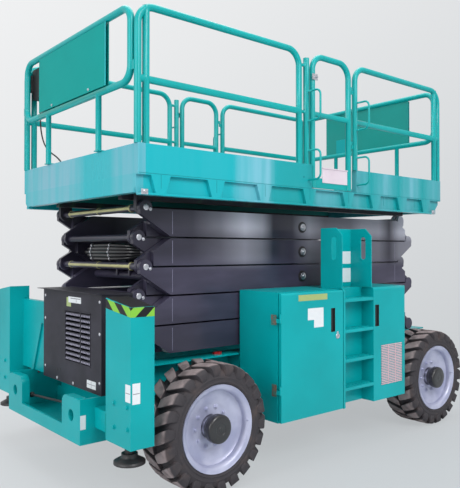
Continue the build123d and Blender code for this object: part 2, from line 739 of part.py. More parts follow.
def make_end_rails():
    """At each end a closed loop of tube round a sheet panel, on two short posts with feet, and
    the clamps that hold it to the side rails."""
    top = rail_top_z - tube_radius
    low = mid_rail_z - 10
    x, y = post_x, end_loop_half - tube_radius
    path = FilletPolyline((x, -y, low), (x, -y, top), (x, y, top), (x, y, low), radius=100,
                          close=True)
    rail = sweep(Plane(origin=path @ 0, z_dir=path % 0) * Circle(tube_radius), path=path)
    rail += block(x - 3, x + 3, -end_panel_half, end_panel_half, low, top)
    for side in (-1, 1):
        rail += bar_z(x, side * end_post_y, toe_top_z, low, tube_radius - 3)
        rail += block(x - 60, x + 20, side * end_post_y - 30, side * end_post_y + 30, toe_top_z,
                      toe_top_z + 8)
        y0, y1 = sorted((side * y, side * post_y))
        clamp = block(x - 10, x + 10, y0, y1, low + 60, low + 120)
        rail += clamp - bar_z(rail_end_x, side * post_y, low, top, tube_radius + seat_gap)
    return rail + mirror(rail, about=Plane.YZ)


def make_gate():
    """The left side's gate: a tube frame with a mid rail and a low kick plate."""
    top = rail_top_z - tube_radius
    x0, x1, y = gate_low_x + tube_radius, gate_high_x - tube_radius, -post_y
    kick = floor_z + 8
    gate = tube_path(((x0, y, kick), (x0, y, top), (x1, y, top), (x1, y, kick)), bend_radius)
    gate += bar_between((x0, y, mid_rail_z), (x1, y, mid_rail_z), tube_radius - 3)
    gate += block(x0, x1, y - 4, y + 4, kick, kick + 82)
    for z in gate_hinge_heights:
        z += hinge_height + seat_gap
        gate += block(gate_high_x - 3, gate_hinge_x, y - 5, y + 5, z, z + hinge_height)
        gate = make_hinge_eye(gate, gate_hinge_x, y, z)
    return gate


def make_control_box():
    """The platform controller at the right front corner, with the hook that carries it."""
    x0, y0, z0 = -post_x + 44.5, 700, control_low_z
    box = block(x0, x0 + 110, y0, y0 + 140, z0, z0 + control_height)
    box = chamfer(box.edges().filter_by(Axis.Y).group_by(Axis.Z)[-1].group_by(Axis.X)[-1], 40)
    tube_face = -post_x + tube_radius + seat_gap
    box += block(tube_face, x0 + 1, y0 + 120, y0 + 140, z0 + 60, z0 + 200)
    return box


def make_control_cable():
    """The cable from the controller's underside to its gland on the deck, with each bend as wide
    as its two runs allow. Returns the cable and the list of its radii."""
    runs = [(b - a).length for a, b in zip(cable_route, cable_route[1:])]
    radii = []
    for n in range(1, len(cable_route) - 1):
        before = cable_route[n] - cable_route[n - 1]
        after = cable_route[n + 1] - cable_route[n]
        turn = radians(before.get_angle(after))
        radii.append(0.45 * min(runs[n - 1], runs[n]) / tan(turn / 2))
    path = FilletPolyline(*cable_route, radius=radii)
    cable = sweep(Plane(origin=path @ 0, z_dir=path % 0) * Circle(cable_radius), path=path)
    print("cable length", round(path.length, 1), "volume ratio",
          round(cable.volume / (pi * cable_radius ** 2 * path.length), 4))
    print("cable radii", [round(r, 1) for r in radii])
    return cable


# ---------------------------------------------------------------- write every sub-part
def write(node, shape):
    """Writes one sub-part to its own file."""
    export_step(shape, f"parts/{node}.step")


os.makedirs("parts", exist_ok=True)

write("chassis_frame", make_chassis())
write("front_axle", make_front_axle())
write("rear_axle", make_rear_axle())
write("front_cover", make_front_cover())
write("side_guard", make_side_guard())
write("hand_pump", make_hand_pump())

knuckle = make_knuckle()
write("knuckle_left", knuckle)
write("knuckle_right", mirrored(knuckle))

tyre, rim, hub = make_tyre(), make_rim(), make_hub()
for end, x in (("front", front_wheel_x), ("rear", rear_wheel_x)):
    for name, side in (("left", -1), ("right", 1)):
        write(f"tyre_{end}_{name}", place_wheel(tyre, x, side))
        write(f"rim_{end}_{name}", place_wheel(rim, x, side))
        write(f"hub_{end}_{name}", place_wheel(hub, x, side))

front_housings, rear_housings = make_jack_housings()
write("jack_housings_front", front_housings)
write("jack_housings_rear", rear_housings)
for end, x, y, top in (("front", jack_front_x, jack_front_y, 1080), ("rear", jack_rear_x, jack_rear_y, 715)):
    for name, side in (("left", -1), ("right", 1)):
        write(f"jack_leg_{end}_{name}", make_jack_leg(x, side * y, top))

cabinet, ladder, door = make_cabinet(), make_ladder(), make_door()
for name, place in (("left", lambda s: s), ("right", mirrored)):
    write(f"cabinet_{name}", place(cabinet))
    write(f"ladder_{name}", place(ladder))
    write(f"cabinet_door_{name}", place(door))
write("engine_block", block(*engine_box))

for level in range(1, levels + 1):
    write(f"inner_arms_{level}", make_inner_arms(level))
    write(f"outer_arms_{level}", make_outer_arms(level))
lift_barrel, lift_rod = make_lift_cylinder()
write("lift_barrel", lift_barrel)
write("lift_rod", lift_rod)

write("platform_frame", make_platform_frame())
write("platform_deck", make_platform_deck())
write("side_rails", make_side_rails())
write("end_rails", make_end_rails())
gate = make_gate()
write("gate_left", gate)
write("gate_right", mirrored(gate))
write("control_box", make_control_box())
write("control_cable", make_control_cable())
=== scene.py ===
# %% [markdown]
# # A rough-terrain scissor lift
#
# This lesson dresses a CAD model of a self-propelled scissor lift: a machine on four knobbly
# tyres that raises a railed platform on five levels of crossed arms. The CAD model holds the
# sizes, the pieces and the joints. Here each piece gets its finish, and the small things that
# a CAD model leaves out, such as tread, bolts, louvres and plates, are built as meshes.
# Everything is in metres, +Z is up, and the machine's steered end looks towards -X.

# %% Load the frame
import json
from math import cos, pi, radians, sin, tan

import bmesh
import bpy
from mathutils import Matrix, Vector


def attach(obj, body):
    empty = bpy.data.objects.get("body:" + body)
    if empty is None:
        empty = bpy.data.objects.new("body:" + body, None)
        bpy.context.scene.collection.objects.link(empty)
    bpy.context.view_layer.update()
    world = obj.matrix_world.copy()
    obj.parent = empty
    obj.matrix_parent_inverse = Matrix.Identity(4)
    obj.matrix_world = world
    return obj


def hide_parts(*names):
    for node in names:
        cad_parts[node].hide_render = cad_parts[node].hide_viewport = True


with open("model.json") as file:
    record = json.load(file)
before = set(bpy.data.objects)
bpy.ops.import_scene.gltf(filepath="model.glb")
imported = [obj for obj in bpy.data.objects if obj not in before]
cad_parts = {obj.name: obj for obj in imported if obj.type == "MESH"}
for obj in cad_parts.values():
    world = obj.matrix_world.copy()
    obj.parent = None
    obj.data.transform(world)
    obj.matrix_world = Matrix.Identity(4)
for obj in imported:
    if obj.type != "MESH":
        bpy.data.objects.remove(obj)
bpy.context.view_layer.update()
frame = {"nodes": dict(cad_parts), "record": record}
nodes = frame["nodes"]

# %% [markdown]
# ## The studio
#
# A catalogue picture of a machine is taken in a white studio: a pale seamless floor, a soft
# bright ceiling and hardly any hard shadow. The same is done here with a large plane, a pale
# world and three large area lamps. The backdrop's brightness comes only from colours, so the
# paint keeps its own colour in any other light.

# %% Camera
EYE = Vector((-3.7438, -4.2351, 1.5665))
YAW, PITCH = 0.8743, 0.0107
FOCAL_SHARE, SENSOR, FAR_CLIP = 619.6 / 488, 36, 100

camera = bpy.data.objects.new("camera", bpy.data.cameras.new("camera"))
bpy.context.scene.collection.objects.link(camera)
ahead = Vector((cos(YAW) * cos(PITCH), sin(YAW) * cos(PITCH), sin(PITCH)))
camera.matrix_world = Matrix.Translation(EYE) @ ahead.to_track_quat("-Z", "Y").to_matrix().to_4x4()
camera.data.sensor_width = SENSOR
camera.data.lens = FOCAL_SHARE * SENSOR
camera.data.clip_end = FAR_CLIP
bpy.context.scene.camera = camera
bpy.context.scene.view_settings.view_transform = "Standard"
print("lens:", round(camera.data.lens, 2), "mm")

# %% [markdown]
# ## Shader maths as sums
#
# A finish is easier to read as a sum than as a web of nodes. The class below wraps one socket,
# so that `0.3 + 0.2 * grain` adds the Math nodes by itself.

# %% Wire
class Wire:
    """A socket that can be used in sums."""

    def __init__(self, nodes, socket):
        self.nodes, self.socket = nodes, socket

    def sum(self, operation, first, second):
        return self.nodes.node("ShaderNodeMath", {0: first, 1: second}, operation=operation)

    def __add__(self, other):
        return self.sum("ADD", self, other)

    def __radd__(self, other):
        return self.sum("ADD", other, self)

    def __sub__(self, other):
        return self.sum("SUBTRACT", self, other)

    def __rsub__(self, other):
        return self.sum("SUBTRACT", other, self)

    def __mul__(self, other):
        return self.sum("MULTIPLY", self, other)

    def __rmul__(self, other):
        return self.sum("MULTIPLY", other, self)

    def __truediv__(self, other):
        return self.sum("DIVIDE", self, other)

    def __pow__(self, other):
        return self.sum("POWER", self, other)

    def above(self, low, high):
        """0 below the low value, 1 above the high one, and smooth between them."""
        return self.nodes.node("ShaderNodeMapRange", {"Value": self, "From Min": low, "From Max": high},
                               interpolation_type="SMOOTHSTEP")


# %% [markdown]
# Every other node comes from one method, which takes the node's type, the values or links of its
# sockets and its settings. The world and the materials share it. Colours are written as they
# look on a screen, from 0 to 255, and `fill` turns them to the linear values that light needs.

# %% Nodes
def tint(colour):
    """The linear values of a colour."""
    shares = (channel / 255 for channel in colour)
    return tuple(s / 12.92 if s <= 0.04045 else ((s + 0.055) / 1.055) ** 2.4 for s in shares)


class Nodes:
    """A tree of nodes, and the ways to add to it."""

    def __init__(self, tree):
        self.tree = tree

    def fill(self, socket, value):
        """Gives a socket a value or a link."""
        if isinstance(value, Wire):
            self.tree.links.new(value.socket, socket)
        elif socket.type == "RGBA":
            socket.default_value = (*tint(value), 1)
        else:
            socket.default_value = value

    def node(self, kind, values=None, output=0, **settings):
        """Adds a node with its sockets' values and its settings, and returns one output."""
        made = self.tree.nodes.new(kind)
        for name, value in settings.items():
            setattr(made, name, value)
        for name, value in (values or {}).items():
            self.fill(made.inputs[name], value)
        return Wire(self, made.outputs[output] if made.outputs else None)

    def place(self, scale=(1, 1, 1)):
        """The point on the piece, in metres, stretched along the axes."""
        point = self.node("ShaderNodeTexCoord", output="Object")
        return self.node("ShaderNodeVectorMath", {0: point, 1: scale}, operation="MULTIPLY")

    def noise(self, scale, detail=2.0, stretch=(1, 1, 1)):
        """Soft random grey from 0 to 1."""
        return self.node("ShaderNodeTexNoise",
                         {"Vector": self.place(stretch), "Scale": scale, "Detail": detail})

    def blend(self, mask, low, high):
        """One colour where the mask is 0, the other where it is 1."""
        return self.node("ShaderNodeMix", {0: mask, 6: low, 7: high}, output=2, data_type="RGBA")

    def axis(self, letter):
        """The point's distance along one axis, in metres."""
        return self.node("ShaderNodeSeparateXYZ", {0: self.place()}, output="XYZ".index(letter))

    def distance(self, letter):
        """The same, without its sign."""
        return self.node("ShaderNodeMath", {0: self.axis(letter)}, operation="ABSOLUTE")

    def wave(self, place):
        """A sine of a place, from -1 to 1."""
        return self.node("ShaderNodeMath", {0: place}, operation="SINE")


# %% Finish
class Finish(Nodes):
    """One material with its shader."""

    def __init__(self, name, roughness=0.5, metallic=0.0, coat=0.0, coat_roughness=0.1,
                 specular=0.5):
        self.material = bpy.data.materials.new(name)
        self.material.use_nodes = True
        super().__init__(self.material.node_tree)
        self.shader = self.tree.nodes["Principled BSDF"]
        for socket, value in (("Roughness", roughness), ("Metallic", metallic), ("Coat Weight", coat),
                              ("Coat Roughness", coat_roughness), ("Specular IOR Level", specular)):
            self.set(socket, value)

    def set(self, socket, value):
        """Gives a socket of the shader a value or a link."""
        self.fill(self.shader.inputs[socket], value)

    def colour(self, mask, low, high):
        """Gives the shader one colour where the mask is 0, and the other where it is 1."""
        self.set("Base Color", self.blend(mask, low, high))

    def bump(self, relief, depth, strength=1.0):
        """Feeds a relief of that depth in metres to the normal."""
        values = {"Height": relief, "Distance": depth, "Strength": strength}
        self.set("Normal", self.node("ShaderNodeBump", values))


def cloudy(name, dark, light, scale, detail=2, steps=None, rough=None, grain=None, **shader):
    """A finish that drifts between two colours.

    rough is the least roughness, what noise adds to it and that noise's scale. grain is the scale,
    detail, depth and strength of a fine relief.
    """
    made = Finish(name, **shader)
    cloud = made.noise(scale, detail)
    if steps:
        cloud = cloud.above(*steps)
    made.colour(cloud, dark, light)
    if rough:
        made.set("Roughness", rough[0] + rough[1] * made.noise(rough[2]))
    if grain:
        made.bump(made.noise(grain[0], grain[1]), grain[2], grain[3])
    return made


# %% [markdown]
# ## Floor, backdrop and lamps
#
# The backdrop is a pale grey that grows lighter towards the upper left. A camera ray that misses
# the floor sees it in the world, and far from the machine the floor fades into the same shade,
# so no horizon shows. Near the machine the floor is partly lit paper, which keeps a soft shadow.
# The light that falls on the machine is set apart from all this by the world's strength and the
# lamps.

# %% World
BRIGHT_SIDE = (-0.431, 0.349, 0.832)
BACKDROP_SPAN = (-0.47, 0.47)
BACKDROP_DARK, BACKDROP_LIGHT = (198, 202, 205), (240, 241, 242)
WORLD_COLOUR, WORLD_LIGHT = (244, 247, 250), 0.80


def backdrop(nodes, ray):
    """The backdrop's colour in the direction of a ray."""
    low, high = BACKDROP_SPAN
    towards = nodes.node("ShaderNodeVectorMath", {0: ray, 1: BRIGHT_SIDE}, 1, operation="DOT_PRODUCT")
    rise = nodes.node("ShaderNodeMapRange", {"Value": towards, "From Min": low, "From Max": high})
    return nodes.blend(rise, BACKDROP_DARK, BACKDROP_LIGHT)


world = bpy.data.worlds.new("studio")
world.use_nodes = True
bpy.context.scene.world = world
sky = Nodes(world.node_tree)
sky.tree.nodes.clear()
seen = sky.node("ShaderNodeBackground", {"Color": backdrop(sky, sky.node("ShaderNodeTexCoord"))})
light = sky.node("ShaderNodeBackground", {"Color": WORLD_COLOUR, "Strength": WORLD_LIGHT})
glossy = sky.node("ShaderNodeLightPath", output="Is Glossy Ray")
either = sky.node("ShaderNodeMath", {0: sky.node("ShaderNodeLightPath"), 1: glossy}, operation="MAXIMUM")
chosen = sky.node("ShaderNodeMixShader", {0: either, 1: light, 2: seen})
sky.node("ShaderNodeOutputWorld", {0: chosen})

# %% Floor
PAPER_SHARE, FADE, FLOOR_SIZE = 0.72, (2.6, 7.0), 60

paper = Finish("studio_floor", roughness=0.6, specular=0.2)
paper.set("Base Color", (196, 200, 203))
spot = paper.place()
ray = paper.node("ShaderNodeVectorMath", {0: spot, 1: tuple(EYE)}, operation="SUBTRACT")
ray = paper.node("ShaderNodeVectorMath", {0: ray}, operation="NORMALIZE")
away = paper.node("ShaderNodeVectorMath", {0: spot}, 1, operation="LENGTH")
share = PAPER_SHARE + (1 - PAPER_SHARE) * away.above(*FADE)
glow = paper.node("ShaderNodeBsdfPrincipled", {
    "Base Color": (0, 0, 0), "Specular IOR Level": 0.0, "Emission Strength": 1.0,
    "Emission Color": backdrop(paper, ray)})
mixed = paper.node("ShaderNodeMixShader", {
    0: share * paper.node("ShaderNodeLightPath"), 1: Wire(paper, paper.shader.outputs[0]), 2: glow})
paper.fill(paper.tree.nodes["Material Output"].inputs[0], mixed)
bpy.ops.mesh.primitive_plane_add(size=FLOOR_SIZE)
floor = bpy.context.object
floor.name = "floor"
floor.data.materials.append(paper.material)


# %% Lamps
def lamp(name, place, target, size, power):
    """A soft square lamp that looks at a point."""
    made = bpy.data.objects.new(name, bpy.data.lights.new(name, "AREA"))
    bpy.context.scene.collection.objects.link(made)
    made.data.size, made.data.energy = size, power
    turn = (Vector(target) - Vector(place)).to_track_quat("-Z", "Y").to_matrix().to_4x4()
    made.matrix_world = Matrix.Translation(place) @ turn


lamp("key_lamp", (-1.5, -7.5, 6.5), (0, 0, 1.2), 4.0, 420)
lamp("front_lamp", (-8.0, -1.5, 3.5), (0, 0, 1.2), 4.0, 210)
lamp("top_lamp", (0.5, 1.0, 8.5), (0, 0, 1.0), 6.0, 300)

# %% [markdown]
# ## Building meshes
#
# The small pieces come from a handful of shapes: boxes, turned parts, bars, plates, nuts and
# pipes. The class below gathers such shapes in one mesh, so a whole family, like all the bolts
# of the trays, becomes one object. Its edges are rounded by a bevel, because a bright rim of
# light along each edge is what makes painted steel look like steel.

# %% Piece
# an edge that bends by more degrees than this stays sharp in the shading and gets the bevel
CREASE = 35


class Piece:
    """Gathers shapes in one mesh and turns them into an object that rides on a body."""

    def __init__(self, name):
        self.name, self.mesh = name, bmesh.new()

    def box(self, low, high):
        """A box between two corners."""
        size = [b - a for a, b in zip(low, high)]
        middle = [(a + b) / 2 for a, b in zip(low, high)]
        for corner in bmesh.ops.create_cube(self.mesh, size=1)["verts"]:
            corner.co = [m + c * s for m, c, s in zip(middle, corner.co, size)]

    def rings(self, rings, closed=False, capped=True):
        """Joins rings of points, each with the same number of points, to a skin."""
        made = [[self.mesh.verts.new(point) for point in ring] for ring in rings]
        pairs = list(zip(made, made[1:]))
        if closed:
            pairs.append((made[-1], made[0]))
        for one, two in pairs:
            for n in range(len(one)):
                after = (n + 1) % len(one)
                self.mesh.faces.new((one[n], one[after], two[after], two[n]))
        if capped and not closed:
            self.mesh.faces.new(list(reversed(made[0])))
            self.mesh.faces.new(made[-1])

    def turned(self, view, origin=(0, 0, 0), along=(0, 0, 1), sides=32, closed=False):
        """A turned part from (radius, distance along its axis) points."""
        along = Vector(along).normalized()
        across = along.orthogonal().normalized()
        other = along.cross(across)
        rings = []
        for radius, distance in view:
            ring = []
            for n in range(sides):
                angle = 2 * pi * n / sides
                ring.append(Vector(origin) + along * distance
                            + (across * cos(angle) + other * sin(angle)) * max(radius, 1e-5))
            rings.append(ring)
        self.rings(rings, closed)

    def bar(self, start, end, radius, sides=20):
        """A round bar between two points."""
        run = Vector(end) - Vector(start)
        self.turned(((radius, 0), (radius, run.length)), start, run, sides)

    def bolt(self, place, along, width=0.024, washer=True):
        """A hexagon bolt head on a washer, standing on a surface."""
        along = Vector(along).normalized()
        start = Vector(place)
        if washer:
            self.turned(((width * 0.85, 0), (width * 0.85, 0.0025)), start, along, 20)
            start = start + along * 0.0025
        tall = width * 0.42
        self.turned(((width * 0.577, 0), (width * 0.577, tall * 0.8), (width * 0.48, tall)), start,
                    along, 6)

    def plate(self, outline, depth):
        """A flat plate from its outline in space and the vector of its thickness."""
        depth = Vector(depth)
        self.rings([[Vector(p) for p in outline], [Vector(p) + depth for p in outline]])

    def pipe(self, points, radius, sides=12, rounds=4):
        """A round pipe through points, with its corners rounded by repeated corner cutting."""
        line = [Vector(p) for p in points]
        for _ in range(rounds):
            cut = [line[0]]
            for a, b in zip(line, line[1:]):
                cut += [a.lerp(b, 0.25), a.lerp(b, 0.75)]
            line = cut + [line[-1]]
        side = (line[1] - line[0]).orthogonal().normalized()
        rings = []
        for n, point in enumerate(line):
            ahead = (line[min(n + 1, len(line) - 1)] - line[max(n - 1, 0)]).normalized()
            side = (side - ahead * side.dot(ahead)).normalized()
            up = ahead.cross(side)
            angles = [2 * pi * k / sides for k in range(sides)]
            rings.append([point + (side * cos(t) + up * sin(t)) * radius for t in angles])
        self.rings(rings)

    def both_sides(self):
        """Adds the mirror image on the machine's other side."""
        copy = bmesh.ops.duplicate(self.mesh, geom=self.mesh.verts[:] + self.mesh.faces[:])["geom"]
        for part in copy:
            if isinstance(part, bmesh.types.BMVert):
                part.co.y = -part.co.y

    def done(self, body, finish, bevel=0.0015, stands_for=(), place=(0, 0, 0),
             flipped=False):
        """Makes the object, rounds its edges and puts it on its body."""
        if flipped:
            for point in self.mesh.verts:
                point.co.y = -point.co.y
        bmesh.ops.recalc_face_normals(self.mesh, faces=self.mesh.faces[:])
        data = bpy.data.meshes.new(self.name)
        self.mesh.to_mesh(data)
        made = bpy.data.objects.new(self.name, data)
        bpy.context.scene.collection.objects.link(made)
        made.location = place
        data.materials.append(finish.material)
        data.shade_smooth()
        data.set_sharp_from_angle(angle=radians(CREASE))
        if bevel:
            rounded(made, bevel, CREASE)
        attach(made, body)
        if stands_for:
            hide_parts(*stands_for)
        return made


def rounded(made, width, crease):
    """Rounds the edges that bend by more than that many degrees."""
    rounding = made.modifiers.new("rounded_edges", "BEVEL")
    rounding.width, rounding.segments, rounding.limit_method = width, 2, "ANGLE"
    rounding.angle_limit, rounding.harden_normals = radians(crease), True


# %% [markdown]
# ## Paint
#
# Most of the machine is sprayed in one teal paint. Sprayed paint is never flat: it has a fine
# orange-peel skin, and its colour and gloss drift a little from panel to panel. Both come from
# noise here, so that they hold at any distance. The arms carry a much darker, glossier coat.

# %% Paints
teal = Finish("teal_paint", coat=0.07, coat_roughness=0.2, specular=0.2)
drift = teal.noise(1.7, detail=3)
teal.colour(drift.above(0.3, 0.7), (0, 154, 158), (0, 165, 170))
teal.set("Roughness", 0.3 + 0.14 * teal.noise(9))
teal.bump(teal.noise(160, detail=1), 0.0004, 0.35)

# %% [markdown]
# The arms' coat is dark, but it is polished. The soft bright bands on the upper levels, where the
# sheet faces a window, are painted reflections in the base colour. A colour ramp along X says how
# bright each stretch is. The painted bands grow with height, because the lower levels lie deep in
# the machine.

# %% Arm paint
ARM_START, ARM_SPAN = -1.6, 3.25
# painted reflections on the arms, as (place along X, brightness) pairs
ARM_PAINTED_REFLECTIONS = ((-1.60, 0.0), (-1.10, 0.05), (-0.84, 0.34), (-0.60, 1.0), (-0.42, 0.62), (-0.30, 0.0),
             (-0.08, 0.06), (0.12, 0.66), (0.32, 0.24), (0.66, 0.26), (0.82, 0.52), (1.08, 0.56),
             (1.24, 0.04), (1.40, 0.84), (1.62, 1.0))


def painted_reflection_ramp(finish, letter, start, span, places):
    """Painted reflections: bands of light and dark along an axis, from (place in metres, brightness) pairs.
    """
    ramp = finish.node("ShaderNodeValToRGB", {"Fac": (finish.axis(letter) - start) / span})
    stops = ramp.socket.node.color_ramp.elements
    while len(stops) < len(places):
        stops.new(0.5)
    for stop, (place, bright) in zip(stops, places):
        stop.position, stop.color = (place - start) / span, (bright, bright, bright, 1)
    return ramp


arm_paint = Finish("arm_paint", coat=0.2, specular=0.35)
drift = arm_paint.noise(2.2, detail=4, stretch=(0.6, 1, 2.2))
height = arm_paint.axis("Z")
reflection_by_height = 0.30 * height.above(1.40, 1.52) + 0.56 * height.above(1.64, 1.76)
# painted reflections, stronger on the upper levels
painted_reflection_bands = painted_reflection_ramp(arm_paint, "X", ARM_START, ARM_SPAN, ARM_PAINTED_REFLECTIONS) * reflection_by_height * (0.7 + 0.45 * drift)
lifted = height.above(1.42, 1.56)
low_coat = arm_paint.blend(lifted, (50, 47, 64), (32, 30, 43))
high_coat = arm_paint.blend(lifted, (72, 68, 88), (46, 43, 60))
dark_coat = arm_paint.blend(drift.above(0.3, 0.75), low_coat, high_coat)
arm_paint.colour(painted_reflection_bands, dark_coat, (206, 206, 220))
arm_paint.set("Roughness", 0.24 + 0.22 * drift)
arm_paint.bump(arm_paint.noise(5, detail=2), 0.003, 0.25)

# %% [markdown]
# ## Bare metal, castings, rubber and plastic
#
# The other finishes drift between two close colours. They differ mostly in how they scatter
# light: chrome is smooth, zinc has a cloudy spangle, a casting is rough and pitted, and moulded
# plastic has a fine grain.

# %% Metals and plastics
axle_paint = cloudy("axle_paint", (2, 130, 124), (40, 120, 112), 12, steps=(0.35, 0.7),
                    rough=(0.42, 0.2, 20), coat=0.1)
cover_paint = cloudy("cover_paint", (33, 32, 41), (46, 44, 54), 5, 4, steps=(0.35, 0.7),
                     rough=(0.42, 0.12, 14), grain=(420, 1, 0.0003, 0.4), specular=0.3)
black_steel = cloudy("black_steel", (24, 23, 26), (46, 43, 45), 30, 4, rough=(0.3, 0.3, 22))
chrome = cloudy("chrome", (206, 208, 212), (225, 226, 228), 40, roughness=0.09, metallic=1.0)
casting = cloudy("casting", (52, 52, 54), (84, 82, 80), 25, 5, rough=(0.6, 0.2, 40),
                 grain=(160, 4, 0.001, 0.5))
plastic = cloudy("black_plastic", (26, 24, 26), (38, 36, 38), 60, rough=(0.45, 0.12, 200),
                 grain=(700, 1, 0.0002, 0.5))
cable_rubber = cloudy("cable_rubber", (22, 20, 22), (36, 34, 35), 50, rough=(0.5, 0.15, 120))
label_white = cloudy("blank_label", (214, 219, 222), (228, 230, 232), 35, 3, rough=(0.36, 0.1, 80),
                     coat=0.3)
label_yellow = cloudy("faded_yellow_label", (150, 170, 104), (168, 182, 118), 28, 4,
                      rough=(0.38, 0.1, 70), coat=0.3)

zinc = Finish("zinc", metallic=1.0)
spangle = zinc.node("ShaderNodeTexVoronoi", {"Vector": zinc.place(), "Scale": 140})
zinc.colour(spangle, (188, 188, 196), (226, 226, 230))
zinc.set("Roughness", 0.24 + 0.2 * spangle)

# %% [markdown]
# ## The platform's boards
#
# The toe boards are the shiniest sheets of the machine, and their bright reflections are painted
# into the base colour as milky stripes. Two colour ramps, one along the ends and one along the sides,
# say where they are, and noise stretched along Z frays them and makes the sheet slightly wavy. The
# teal itself is painted lighter towards the steered end, as painted light.

# %% Board finish
# painted reflections on the end boards and on the side boards, as (place, brightness) pairs
END_PAINTED_REFLECTIONS = ((-0.90, 0.50), (-0.66, 0.60), (-0.56, 0.10), (-0.20, 0.04), (-0.10, 0.44), (0.10, 0.80),
            (0.44, 0.84), (0.60, 0.62), (0.76, 0.54), (0.86, 0.12))
SIDE_PAINTED_REFLECTIONS = ((-1.70, 0.04), (-0.94, 0.06), (-0.86, 0.62), (-0.60, 0.78), (-0.52, 0.05), (-0.12, 0.06),
             (-0.04, 0.44), (0.20, 0.40), (0.28, 0.02), (0.48, 0.34), (0.62, 0.03), (0.84, 0.48),
             (1.02, 0.03), (1.24, 0.56), (1.40, 0.02), (1.58, 0.36))
BOARD_START, BOARD_SPAN = -1.72, 3.44
boards = Finish("platform_boards", coat=0.12, coat_roughness=0.08, specular=0.22)
painted_reflection_bands = boards.noise(2.3, detail=3, stretch=(1, 1.15, 0.06))
fine = boards.noise(13, detail=2, stretch=(1, 1, 0.08))
at_end = boards.distance("X").above(1.655, 1.66)
end_painted_reflection = painted_reflection_ramp(boards, "Y", BOARD_START, BOARD_SPAN, END_PAINTED_REFLECTIONS)
side_painted_reflection = painted_reflection_ramp(boards, "X", BOARD_START, BOARD_SPAN, SIDE_PAINTED_REFLECTIONS)
# the painted reflection, frayed by noise and weaker below the seam
board_reflection = (end_painted_reflection * at_end + side_painted_reflection * (1 - at_end)) * (0.55 + 0.9 * painted_reflection_bands * fine.above(0.3, 0.65))
above_seam = boards.axis("Z").above(2.052, 2.056)
board_reflection = board_reflection * (0.75 + 0.25 * above_seam)
rearwards = boards.axis("X").above(-1.0, -0.3)
# painted light: the teal is lighter at the front end and darker rearwards
teal_lit_at_front = boards.blend(rearwards, (0, 168, 178), (0, 152, 156))
reflection_colour = boards.blend(at_end, (140, 192, 212), (128, 172, 190))
boards.colour(board_reflection, teal_lit_at_front, reflection_colour)
boards.set("Roughness", 0.28 - 0.1 * board_reflection)
boards.bump(boards.noise(3.5, detail=1, stretch=(1, 1, 0.12)) + 0.25 * fine, 0.012, 0.3)

# %% [markdown]
# ## Guard rails
#
# The rails are the same teal, a shade greener and duller than the sheets; their darker colour is
# painted shade, since round tube catches less light. The panels inside the end loops are darker
# still. One finish does both: a mask picks out the flat panel by its place.

# %% Rail paint
PANEL_HALF, PANEL_OUT, PANEL_Z = 0.56, 1.714, (2.62, 3.10)
rail_paint = Finish("rail_paint", coat=0.1, coat_roughness=0.12, specular=0.3)
drift = rail_paint.noise(3.1, detail=2)
height = rail_paint.axis("Z")
panel_mask = 1 - rail_paint.distance("Y").above(PANEL_HALF, PANEL_HALF + 0.005)
panel_mask = panel_mask * rail_paint.distance("X").above(PANEL_OUT, PANEL_OUT + 0.001)
panel_mask = panel_mask * height.above(PANEL_Z[0], PANEL_Z[0] + 0.03)
panel_mask = panel_mask * (1 - height.above(PANEL_Z[1] - 0.004, PANEL_Z[1]))
# painted shade: the tubes' teal is darker, since round tube catches less light
shaded_tube_colour = rail_paint.blend(drift, (0, 150, 148), (0, 166, 166))
panel_colour = rail_paint.blend(drift, (0, 132, 125), (0, 144, 137))
rail_paint.colour(panel_mask, shaded_tube_colour, panel_colour)
rail_paint.set("Roughness", 0.26 + 0.12 * rail_paint.noise(11))
rail_paint.bump(rail_paint.noise(140, detail=1), 0.0004, 0.3)

# %% [markdown]
# ## Tread plate
#
# People stand on the deck, so its sheet is rolled with raised bars that alternate in direction.
# Two waves along the diagonals, cut at a threshold, give a grid of small lozenges as bump.

# %% Deck finish
deck = Finish("tread_plate", coat=0.1)
across = deck.axis("X")
along = deck.axis("Y")
lozenge = (deck.wave((across + along) * 130) * deck.wave((across - along) * 75)).above(0.25, 0.5)
normal = deck.node("ShaderNodeNewGeometry", output="Normal")
upward = deck.node("ShaderNodeSeparateXYZ", {0: normal}, output="Z")
tread = lozenge * upward.above(0.5, 0.9)
above_frame = deck.axis("Z").above(1.960, 1.966)
sheet = deck.blend(tread, (0, 132, 126), (70, 160, 152))
underneath = deck.blend(deck.noise(9, detail=3).above(0.5, 0.8), (38, 36, 46), (50, 84, 60))
deck.colour(above_frame, underneath, sheet)
deck.set("Roughness", 0.5 - 0.18 * tread)
deck.bump(tread, 0.002, 0.8)

# %% [markdown]
# ## The CAD pieces
#
# The CAD pieces are shown as they are, apart from the wheels and the cable, which get a richer
# mesh below. A weld modifier joins the points that the file keeps apart at each crease, and a
# small bevel then rounds the creases, as a press brake does.

